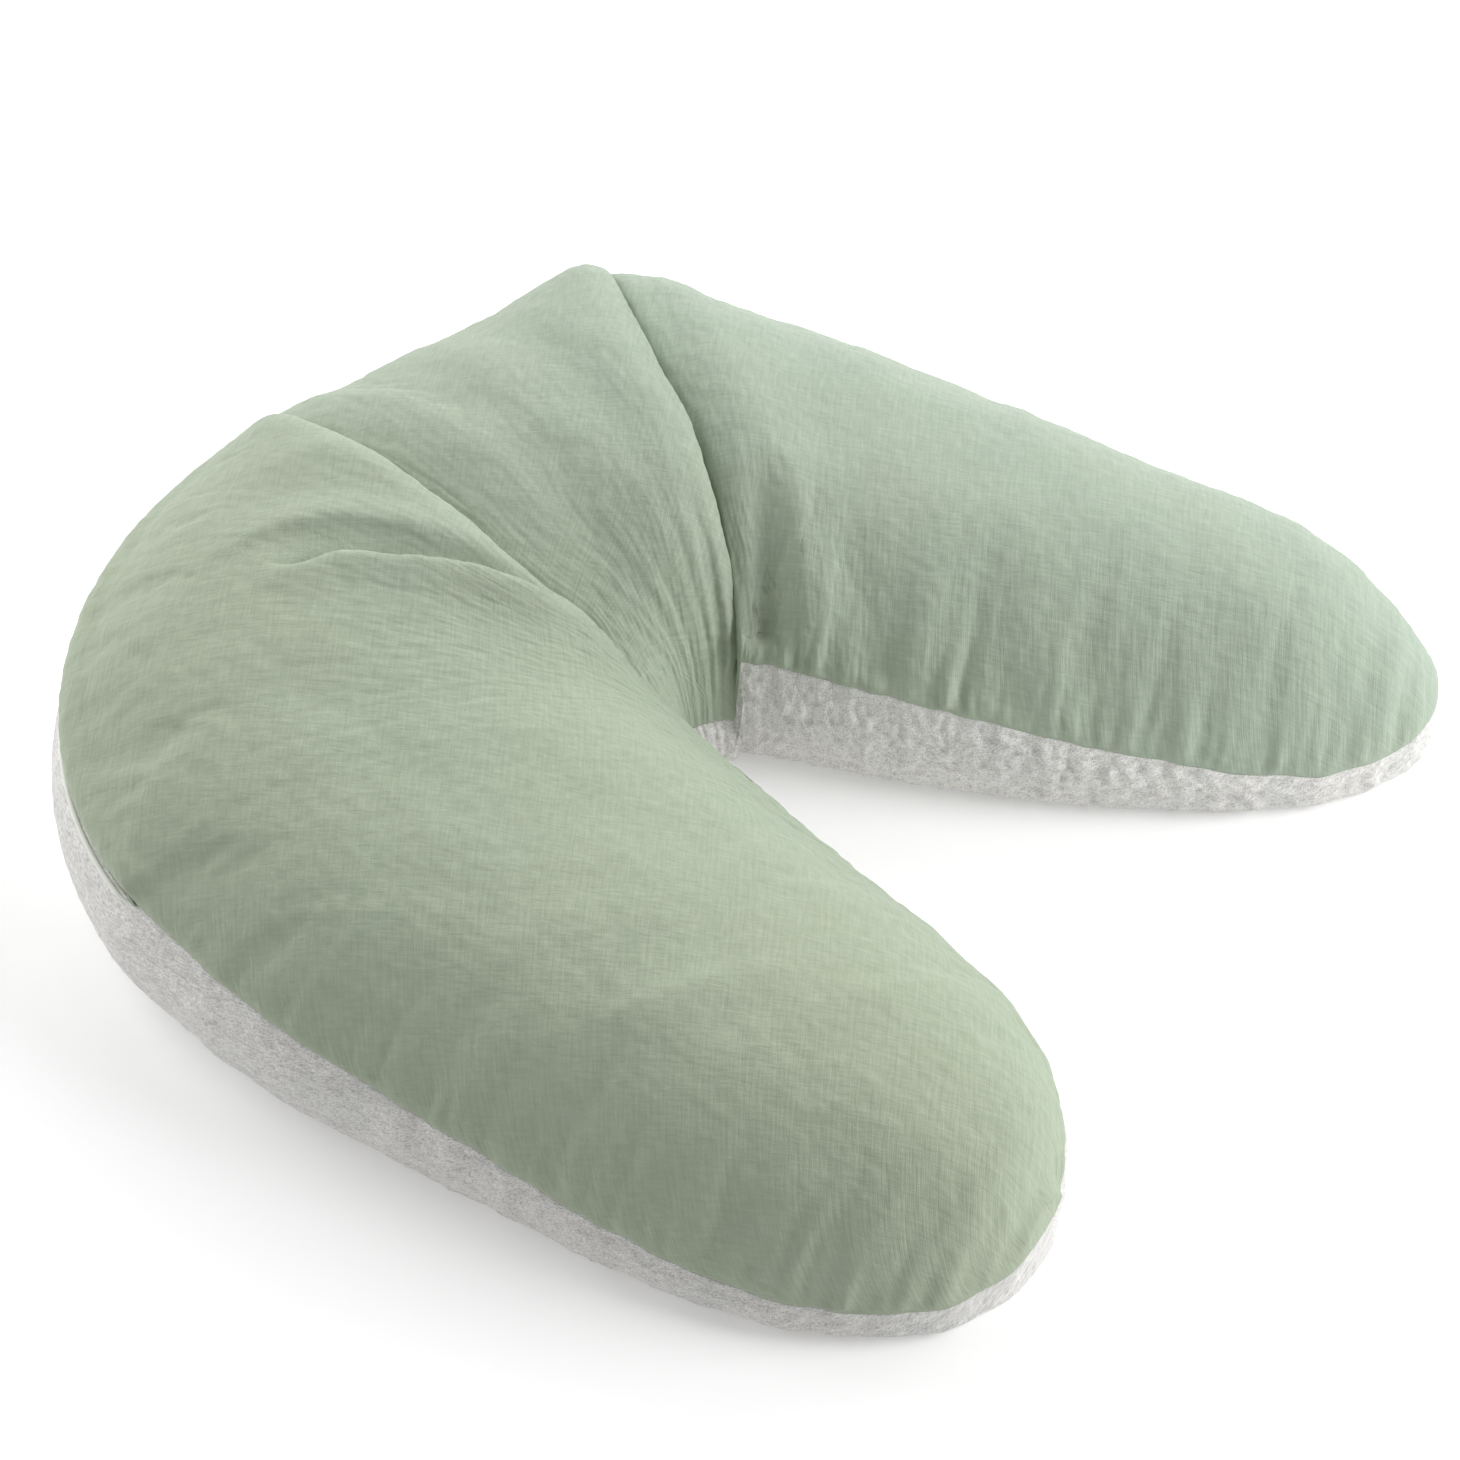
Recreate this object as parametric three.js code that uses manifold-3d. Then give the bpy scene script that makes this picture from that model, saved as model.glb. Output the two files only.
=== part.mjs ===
// Nursing pillow: a V-shaped, loose-filled cushion in a removable two-sided cover.
// Millimetres, +Z up, resting on z = 0. The opening between the arms faces -Y.
// The cover is a muslin top panel and a quilted jersey underside, sewn together
// all round and closed by a zip along the outside of the bend. Inside it lies a
// cotton inner casing, and inside that the loose fill. The two arms can be
// spread at the fold of the bend, so every layer is split at that fold.
import * as THREE from 'three';
import Module from 'manifold-3d';

// ---------------------------------------------------------------- dimensions
// One row per station, from the tip of the left arm, round the outside of the
// bend, to the tip of the right arm:
// outer seam x, y, z | inner seam x, y, z | crown height | sag outside | sag inside
const STATIONS = [
  [-186.6, -344.4, 30.7, -186.6, -344.4, 30.7, 30.7, 0, 0],
  [-192.9, -345.7, 30.2, -186.4, -346.3, 30.6, 33.6, 0.5, 0.5],
  [-208.2, -346.8, 28.5, -180.8, -345, 31, 43.5, 2.2, 2.2],
  [-231.1, -344.2, 26.5, -169.8, -342, 32, 59.9, 2.9, 3.1],
  [-259.1, -331.9, 25.2, -152.3, -335.1, 33.8, 82.9, 2.9, 3.2],
  [-286.6, -305.5, 25.8, -125.9, -318, 37.8, 103.4, 2.9, 3.5],
  [-309.7, -263.6, 29.1, -94.9, -280.1, 45.5, 117, 2.9, 4],
  [-325.3, -208.2, 35.5, -72, -223.2, 56.1, 127.4, 3.3, 4.7],
  [-331.5, -146.2, 44.7, -58.1, -162.4, 67, 132.8, 3.9, 5.6],
  [-332, -83.8, 55.2, -47.4, -107, 76.7, 136.8, 4.6, 6.4],
  [-331.8, 2.8, 70.6, -30.5, -48.3, 86.8, 142.5, 7, 7.3],
  [-327.4, 89.3, 85, -15.1, -18.1, 91.4, 148.3, 9.5, 7.5],
  [-308.4, 173.6, 95.1, -6.9, -5.9, 93.1, 154.5, 12.1, 6.6],
  [-303.6, 189.08, 96, -5.8, -4.6, 93.3, 155.7, 12.5, 6.4],
  [-285.7, 224.16, 96, -3.5, -1.7, 93.6, 158.6, 12.5, 6.2],
  [-263.04, 256.37, 96, -1.1, 1, 94, 161.8, 12.5, 6],
  [-236.08, 285.07, 96, 1.2, 3.4, 94.3, 165.1, 12.5, 5.8],
  [-205.35, 309.7, 96, 3.7, 5.5, 94.6, 168.6, 12.5, 5.7],
  [-171.46, 329.76, 96, 6.2, 7.1, 94.8, 171.9, 12.5, 5.5],
  [-135.09, 344.85, 96, 8.6, 8.2, 95, 174.9, 12.5, 5.4],
  [-96.96, 354.69, 96, 10.7, 8.8, 95.1, 177.6, 12.5, 5.3],
  [-57.82, 359.06, 96, 12.7, 9, 95.2, 180.1, 12.5, 5.3],
  [-18.46, 357.88, 96, 14.5, 8.9, 95.2, 182.5, 12.5, 5.3],
  [20.34, 351.19, 96, 16.5, 8.6, 95.2, 184.7, 12.5, 5.3],
  [57.82, 339.1, 96, 18.8, 7.9, 95.2, 186.7, 12.5, 5.3],
  [93.23, 321.86, 96, 21.1, 6.8, 95.2, 188.9, 12.5, 5.3],
  [109.1, 317.1, 96.2, 22.1, 6.3, 95.2, 189.8, 12.5, 5.3],
  [182.6, 283.9, 95.4, 27.2, 2.6, 95, 194, 12.2, 5.4],
  [249.1, 239.1, 94.1, 33.4, -3.9, 94.5, 195.8, 11.7, 5.7],
  [280, 191.4, 91.9, 39.7, -13, 93.8, 191.6, 10.8, 6.1],
  [298.4, 137.5, 88, 46.7, -28, 92.6, 183.1, 10, 6.9],
  [310.8, 81.7, 82.1, 54.2, -53.2, 90.1, 172.6, 9, 7.6],
  [319.3, 25.3, 74.5, 61.3, -79, 87, 163.5, 7.7, 7.3],
  [325, -31.5, 65.9, 70.2, -108, 82.6, 155.9, 6.2, 6.9],
  [328.9, -88.4, 56.9, 83, -144.4, 76, 149.3, 4.8, 6.4],
  [332, -146, 48.1, 105.4, -197.3, 64.4, 142.9, 4.2, 5.4],
  [335, -203.5, 40.1, 132, -248.6, 51.4, 134.5, 3.6, 4.4],
  [334.8, -253.4, 34.7, 159.9, -294.3, 39.1, 123.7, 3.3, 3.6],
  [329, -293.2, 32.2, 192.6, -334.4, 30.1, 102.4, 3.1, 3],
  [318.8, -324.2, 31.9, 225.3, -358.9, 29, 80.3, 3.1, 2.9],
  [307, -346.1, 32.8, 256.4, -369.5, 32.5, 60.5, 3.1, 3.1],
  [297.5, -359.4, 34, 279.5, -368, 34.4, 44.2, 1.6, 1.6],
  [291.5, -363.6, 34.6, 291.5, -363.6, 34.6, 34.6, 0, 0],
];
const FOLD = 28;              // station of the fold the right arm opens at
const FOLD_GAP = 0.5;         // clearance between the two sides of the fold
const CROWN_POWER = 2.2;      // fullness of the upper side

const COVER_T = 1.4;          // double gauze / quilted jersey
const CASING_T = 0.9;         // inner casing sheeting
const SEAM_GAP = 0.3;         // between the two panels at a sewn edge
const CASING_INSET = 9;       // inner cushion is this much smaller at the seam
const CASING_DROP = 2.6;      // and this much lower at the crown
const FILL_INSET = 1.6;       // fill inside the casing
const FILL_DROP = 1.6;

// zip: a circular run along the outside of the bend
const ZIP_C = [-46.45, 79.93];
const ZIP_R = 279.36;
const ZIP_Z = 96;
const ZIP_BACK = 60;          // degrees, closed end at the back of the bend
const ZIP_FRONT = 157;        // degrees, open end near the left arm
const ZIP_LIFT = 3.5;         // each panel edge stands this far off the zip line
const TAPE_T = 0.6;
const TAPE_H = 8;
const SLIDER_L = 9;
const PULL_L = 27;
const PULL_W = 5.6;

// ---------------------------------------------------------------- materials
const mat = (color, roughness, metalness = 0) =>
  new THREE.MeshStandardMaterial({ color, roughness, metalness });
const SAGE = 0xa1ae98, GREY = 0xc3c1bc, CALICO = 0xece6d8, BEAD = 0xf4f2ec;
const TAPE = 0xe4e6da, COIL = 0xdadccf, METAL = 0xb9bab6, LABEL = 0xf3f2ee;

const pillow = new THREE.Group();
const add = (name, geometry, material) => {
  const mesh = new THREE.Mesh(geometry, material);
  mesh.name = name;
  pillow.add(mesh);
  return mesh;
};

// ---------------------------------------------------------------- mesh helper
// Quads and triangles over welded points; triangles with no area are left out.
class Skin {
  constructor() { this.points = []; this.index = []; this.keys = new Map(); }
  point(p) {
    const key = p.map((v) => Math.round(v * 1e4)).join(' ');
    if (!this.keys.has(key)) { this.keys.set(key, this.points.length / 3); this.points.push(...p); }
    return this.keys.get(key);
  }
  tri(a, b, c) {
    const [i, j, k] = [this.point(a), this.point(b), this.point(c)];
    if (i !== j && j !== k && i !== k) this.index.push(i, j, k);
  }
  quad(a, b, c, d) { this.tri(a, b, c); this.tri(a, c, d); }
  grid(rows, flip) {
    for (let i = 0; i + 1 < rows.length; i++)
      for (let j = 0; j + 1 < rows[i].length; j++) {
        const q = [rows[i][j], rows[i + 1][j], rows[i + 1][j + 1], rows[i][j + 1]];
        if (flip) q.reverse();
        this.quad(...q);
      }
  }
  geometry() {
    const g = new THREE.BufferGeometry();
    g.setAttribute('position', new THREE.Float32BufferAttribute(this.points, 3));
    g.setIndex(this.index);
    g.computeVertexNormals();
    return g;
  }
}

// ---------------------------------------------------------------- seam loops
const N = STATIONS.length;
const sub = (a, b) => [a[0] - b[0], a[1] - b[1]];
const len = (a) => Math.hypot(a[0], a[1]);
const outer = STATIONS.map((s) => [s[0], s[1], s[2]]);
const inner = STATIONS.map((s) => [s[3], s[4], s[5]]);

// unit direction into the pillow at each end of a station
const inward = (line, k, side) => {
  if (k === FOLD) {
    const d = sub(inner[k], outer[k]);
    return [side * d[0] / len(d), side * d[1] / len(d)];
  }
  if (k === 0 || k === N - 1) {
    const e = k === 0 ? 3 : N - 4;
    const m = [(outer[e][0] + inner[e][0]) / 2, (outer[e][1] + inner[e][1]) / 2];
    const d = sub(m, line[k]);
    return [d[0] / len(d), d[1] / len(d)];
  }
  const t = sub(line[k + 1], line[k - 1]);
  // travelling from the left tip round to the right tip the body lies to the
  // right of the outer seam and to the left of the inner one
  return [side * t[1] / len(t), -side * t[0] / len(t)];
};
const inOuter = outer.map((_, k) => inward(outer, k, 1));
const inInner = inner.map((_, k) => inward(inner, k, -1));

// panel edges stand apart along the zip
const onZip = (p) => Math.abs(Math.hypot(p[0] - ZIP_C[0], p[1] - ZIP_C[1]) - ZIP_R) < 0.2 && Math.abs(p[2] - ZIP_Z) < 0.01;
const lift = outer.map((p) => (onZip(p) ? ZIP_LIFT : SEAM_GAP / 2));

// both sides of the fold are set back from it
const foldDir = sub(inner[FOLD], outer[FOLD]);
const foldNormal = [-foldDir[1] / len(foldDir), foldDir[0] / len(foldDir)]; // towards the right arm
const setBack = (p, k, part) => {
  if (k !== FOLD) return p;
  const s = part === 'arm' ? FOLD_GAP / 2 : -FOLD_GAP / 2;
  return [p[0] + s * foldNormal[0], p[1] + s * foldNormal[1], p[2]];
};

const CROWN_STEPS = 10;
const crownR = Array.from({ length: CROWN_STEPS + 1 }, (_, j) => Math.cos(Math.PI * j / CROWN_STEPS));
// underside: [share of the half width, share of the sag, share of the seam height]
const HALF_UNDER = [[1, 0, 1], [1, 0.95, 0.62], [0.985, 0.6, 0.25], [0.93, 0, 0.04], [0.8, 0, 0], [0.4, 0, 0]];
const UNDER = [
  ...HALF_UNDER.map((u) => [u[0], u[1], u[2], 1]),
  ...HALF_UNDER.slice().reverse().map((u) => [u[0], u[1], u[2], -1]),
];

const ends = (k, inset) => {
  const o = [outer[k][0] + inset * inOuter[k][0], outer[k][1] + inset * inOuter[k][1], outer[k][2]];
  const i = [inner[k][0] + inset * inInner[k][0], inner[k][1] + inset * inInner[k][1], inner[k][2]];
  if (k === 0 || k === N - 1) return [o, [...o]];
  return [o, i];
};
// upper surface at one station, from the outer seam to the inner seam
const crownRow = (k, inset, drop, rim, part) => {
  const [o, i] = ends(k, inset);
  return crownR.map((r) => {
    const a = (1 + r) / 2, b = (1 - r) / 2;
    const base = o[2] * a + i[2] * b;
    const up = Math.max(STATIONS[k][6] - drop - base, 0);
    const edge = rim * (r > 0 ? lift[k] : SEAM_GAP / 2);
    const z = base + edge + Math.max(up - edge, 0) * Math.pow(Math.max(1 - Math.pow(Math.abs(r), CROWN_POWER), 0), 0.5);
    return setBack([o[0] * a + i[0] * b, o[1] * a + i[1] * b, z], k, part);
  });
};
// lower surface at one station, same order
const underRow = (k, inset, drop, rim, part) => {
  const [o, i] = ends(k, inset);
  const w = len(sub(o, i));
  const d = w > 1e-6 ? [(o[0] - i[0]) / w, (o[1] - i[1]) / w] : [0, 0];
  const m = [(o[0] + i[0]) / 2, (o[1] + i[1]) / 2];
  return UNDER.map(([share, sag, zs, side]) => {
    const s = side * (w / 2 * share + (side > 0 ? STATIONS[k][7] : STATIONS[k][8]) * sag * (w > 1e-6 ? 1 : 0));
    const seam = (side > 0 ? o[2] : i[2]) - rim * (side > 0 ? lift[k] : SEAM_GAP / 2);
    const z = drop + (seam - drop) * zs;
    return setBack([m[0] + d[0] * s, m[1] + d[1] * s, w > 1e-6 ? z : seam], k, part);
  });
};

// A sewn panel: two skins COVER_T apart, joined along the rims and at its ends.
const panel = (rowOf, from, to, inset, drop, thick, upper, part) => {
  const outside = [], inside = [];
  for (let k = from; k <= to; k++) {
    outside.push(rowOf(k, inset, drop, 1, part));
    inside.push(rowOf(k, inset + thick, drop + thick, 1, part));
  }
  const s = new Skin();
  const strip = (a, b, flip) => {
    for (let n = 0; n + 1 < a.length; n++) {
      const q = [a[n], a[n + 1], b[n + 1], b[n]];
      if (flip) q.reverse();
      s.quad(...q);
    }
  };
  s.grid(outside, upper);
  s.grid(inside, !upper);
  const last = outside[0].length - 1;
  strip(outside.map((r) => r[0]), inside.map((r) => r[0]), !upper);
  strip(outside.map((r) => r[last]), inside.map((r) => r[last]), upper);
  strip(outside[0], inside[0], upper);
  strip(outside[outside.length - 1], inside[inside.length - 1], !upper);
  return s.geometry();
};

// A body of fill: crown and underside share their rims.
const fill = (from, to, part, cutStart, cutEnd) => {
  const inset = CASING_INSET + CASING_T + FILL_INSET;
  const drop = CASING_DROP + COVER_T + CASING_T + FILL_DROP;
  const top = [], low = [];
  for (let k = from; k <= to; k++) {
    const slide = (row) => row.map((p) => {
      const e = k === from && cutStart ? cutStart : k === to && cutEnd ? cutEnd : null;
      return e ? [p[0] + e[0], p[1] + e[1], p[2]] : p;
    });
    top.push(slide(crownRow(k, inset, drop, 0, part)));
    low.push(slide(underRow(k, inset, drop, 0, part)));
  }
  const s = new Skin();
  s.grid(top, true);
  s.grid(low, false);
  const cap = (t, l, flip) => {
    const loop = [...t, ...l.slice(1, -1).reverse()];
    const c = [0, 1, 2].map((x) => loop.reduce((a, p) => a + p[x], 0) / loop.length);
    for (let n = 0; n < loop.length; n++) {
      const q = [loop[n], loop[(n + 1) % loop.length]];
      if (flip) q.reverse();
      s.tri(c, ...q);
    }
  };
  if (from > 0) cap(top[0], low[0], true);
  if (to < N - 1) cap(top[top.length - 1], low[low.length - 1], false);
  return s.geometry();
};

// ---------------------------------------------------------------- soft layers
const BODY = 'body', ARM = 'arm';
for (const [part, from, to, tag] of [[BODY, 0, FOLD, 'main'], [ARM, FOLD, N - 1, 'right_arm']]) {
  add('cover_top_panel_' + tag, panel(crownRow, from, to, 0, 0, COVER_T, true, part), mat(SAGE, 0.95));
  add('cover_underside_panel_' + tag, panel(underRow, from, to, 0, 0, COVER_T, false, part), mat(GREY, 0.95));
  add('inner_casing_top_' + tag, panel(crownRow, from, to, CASING_INSET, CASING_DROP + COVER_T, CASING_T, true, part), mat(CALICO, 0.9));
  add('inner_casing_underside_' + tag, panel(underRow, from, to, CASING_INSET, CASING_DROP + COVER_T, CASING_T, false, part), mat(CALICO, 0.9));
}
// the fill of the left arm and of the bend are two loose masses
const SPLIT = 13;
const splitDir = sub(inner[SPLIT], outer[SPLIT]);
const away = [-splitDir[1] / len(splitDir) * 0.3, splitDir[0] / len(splitDir) * 0.3];
add('fill_left_arm', fill(0, SPLIT, BODY, null, [-away[0], -away[1]]), mat(BEAD, 0.8));
add('fill_bend', fill(SPLIT, FOLD, BODY, away, null), mat(BEAD, 0.8));
add('fill_right_arm', fill(FOLD, N - 1, ARM, null, null), mat(BEAD, 0.8));

// ---------------------------------------------------------------- zip
const rad = (deg) => deg * Math.PI / 180;
// point at depth rho inside the seam line, height dz, angle a
const onArc = (a, rho, dz) => [
  ZIP_C[0] + (ZIP_R - rho) * Math.cos(rad(a)),
  ZIP_C[1] + (ZIP_R - rho) * Math.sin(rad(a)),
  ZIP_Z + dz,
];
// section: [rho, dz] points, counter-clockwise looking along the run
const sweep = (section, a0, a1, steps) => {
  const s = new Skin();
  const rows = [];
  for (let n = 0; n <= steps; n++) {
    const a = a0 + (a1 - a0) * n / steps;
    rows.push([...section, section[0]].map(([rho, dz]) => onArc(a, rho, dz)));
  }
  s.grid(rows, true);
  const cap = (row, flip) => {
    for (let n = 1; n + 1 < section.length; n++) {
      const t = [row[0], row[n], row[n + 1]];
      if (flip) t.reverse();
      s.tri(...t);
    }
  };
  cap(rows[0], true);
  cap(rows[rows.length - 1], false);
  return s.geometry();
};
const ARC_STEPS = 44;
// closed-run angles, degrees along the arc
const deg = (mm) => mm / ZIP_R * 180 / Math.PI;
const TAPE_A0 = ZIP_BACK + 0.3, TAPE_A1 = ZIP_FRONT - 0.3;
const STOP_L = 3;
const STOP_BACK = TAPE_A0 + deg(2), STOP_FRONT = TAPE_A1 - deg(2) - deg(STOP_L);
const COIL_A0 = STOP_BACK + deg(STOP_L + 0.4), COIL_A1 = STOP_FRONT - deg(0.4);
// each tape lies along the inside of its own panel
const upperTape = [[2.6, 2.3], [2.6 + TAPE_T, 2.3], [5.2 + TAPE_T, 2.3 + TAPE_H], [5.2, 2.3 + TAPE_H]];
const lowerTape = [[0.6, -2.3 - TAPE_H], [0.6 + TAPE_T, -2.3 - TAPE_H], [2.6 + TAPE_T, -2.3], [2.6, -2.3]];
const coilSection = [[1.5, 0.6], [3.9, 0.6], [3.9, 2.0], [1.5, 2.0]];
const flipZ = (section) => section.map(([r, z]) => [r, -z]).reverse();
add('zip_tape_upper', sweep(upperTape, TAPE_A0, TAPE_A1, ARC_STEPS), mat(TAPE, 0.85));
add('zip_tape_lower', sweep(lowerTape, TAPE_A0, TAPE_A1, ARC_STEPS), mat(TAPE, 0.85));
add('zip_coil_upper', sweep(coilSection, COIL_A0, COIL_A1, ARC_STEPS), mat(COIL, 0.5));
add('zip_coil_lower', sweep(flipZ(coilSection), COIL_A0, COIL_A1, ARC_STEPS), mat(COIL, 0.5));
const stopSection = [[1.3, -2.0], [4.1, -2.0], [4.1, 2.0], [1.3, 2.0]];
add('zip_stop_back', sweep(stopSection, STOP_BACK, STOP_BACK + deg(STOP_L), 2), mat(METAL, 0.35, 0.9));
add('zip_stop_front', sweep(stopSection, STOP_FRONT, STOP_FRONT + deg(STOP_L), 2), mat(METAL, 0.35, 0.9));

// slider: two plates joined by the divider that runs between the coils, with
// lips that hold the tapes, and an arch on the outer plate for the pull
const wasm = await Module();
wasm.setup();
const box = (x0, x1, y0, y1, z0, z1) => {
  const g = new THREE.BoxGeometry(x1 - x0, y1 - y0, z1 - z0);
  g.translate((x0 + x1) / 2, (y0 + y1) / 2, (z0 + z1) / 2);
  return g;
};
const toManifold = (g) => {
  const pos = g.attributes.position, idx = g.index.array, map = new Map();
  const verts = [], remap = [];
  for (let n = 0; n < pos.count; n++) {
    const p = [pos.getX(n), pos.getY(n), pos.getZ(n)];
    const key = p.map((v) => v.toFixed(4)).join(' ');
    if (!map.has(key)) { map.set(key, verts.length / 3); verts.push(...p); }
    remap.push(map.get(key));
  }
  return new wasm.Manifold(new wasm.Mesh({
    numProp: 3, vertProperties: Float32Array.from(verts), triVerts: Uint32Array.from(Array.from(idx, (n) => remap[n])),
  }));
};
const fromManifold = (m) => {
  const mesh = m.getMesh();
  const g = new THREE.BufferGeometry();
  g.setAttribute('position', new THREE.Float32BufferAttribute(Array.from(mesh.vertProperties), 3));
  g.setIndex(Array.from(mesh.triVerts));
  g.computeVertexNormals();
  return g;
};
const join = (boxes) => fromManifold(wasm.Manifold.union(boxes.map((b) => toManifold(box(...b)))));
// slider frame: x inwards from the seam line, y along the run, z up
const H = SLIDER_L / 2;
const sliderGeometry = join([
  [-0.3, 1.2, -H, H, -3.1, 3.1],        // outer plate
  [4.2, 5.2, -H, H, -3.1, 3.1],         // inner plate
  [1.1, 4.3, -H, H, -0.3, 0.3],         // divider
  [1.1, 2.2, -H, H, 2.3, 3.1],          // outer lips
  [1.1, 2.2, -H, H, -3.1, -2.3],
  [3.9, 4.3, -H, H, 2.3, 3.1],          // inner lips
  [3.9, 4.3, -H, H, -3.1, -2.3],
  [-2.6, -0.2, -3.4, -2.6, -0.9, 0.9],  // arch
  [-2.6, -0.2, 2.6, 3.4, -0.9, 0.9],
  [-3.2, -2.3, -3.4, 3.4, -0.9, 0.9],
]);
const SLIDER_A = COIL_A0 + deg(H + 0.3);
const placeOnRun = (mesh, rho = 0) => {
  mesh.position.set(...onArc(SLIDER_A, rho, 0));
  // local x points to the centre of the run
  mesh.rotation.z = rad(SLIDER_A) + Math.PI;
  return mesh;
};
placeOnRun(add('zip_slider', sliderGeometry, mat(METAL, 0.3, 0.9)));

// pull tab: a flat tab whose eye closes round the arch; its cross bar is the pivot
const PIVOT_RHO = -1.4;
const tab = new THREE.Shape();
const W = PULL_W / 2;
tab.moveTo(-W, 0.45); tab.lineTo(-W, -PULL_L + 3);
tab.quadraticCurveTo(-W, -PULL_L + 0.45, 0, -PULL_L + 0.45);
tab.quadraticCurveTo(W, -PULL_L + 0.45, W, -PULL_L + 3);
tab.lineTo(W, 0.45); tab.closePath();
const eye = new THREE.Path();
eye.moveTo(-1.5, -0.45); eye.lineTo(1.5, -0.45); eye.lineTo(1.5, -5.4); eye.lineTo(-1.5, -5.4); eye.closePath();
tab.holes.push(eye);
const grip = new THREE.Path();
grip.moveTo(-1.1, -PULL_L + 8); grip.lineTo(1.1, -PULL_L + 8); grip.lineTo(1.1, -PULL_L + 4); grip.lineTo(-1.1, -PULL_L + 4); grip.closePath();
tab.holes.push(grip);
const tabGeometry = new THREE.ExtrudeGeometry(tab, { depth: 0.9, bevelEnabled: false, curveSegments: 6 });
tabGeometry.translate(0, 0, -0.45);
// shape x becomes z (across the zip), shape y stays along the run
tabGeometry.rotateY(-Math.PI / 2);
placeOnRun(add('zip_pull_tab', tabGeometry, mat(METAL, 0.3, 0.9)), PIVOT_RHO);

// ---------------------------------------------------------------- care label
const labelSection = [[-6.4, -34], [-6.0, -34], [1.2, -14], [0.8, -14]];
add('care_label', sweep(labelSection, ZIP_FRONT - 14, ZIP_FRONT - 14 + deg(34), 4), mat(LABEL, 0.7));

export default pillow;
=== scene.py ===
import math
import bpy
import numpy as np
from mathutils import Matrix, Vector


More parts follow.
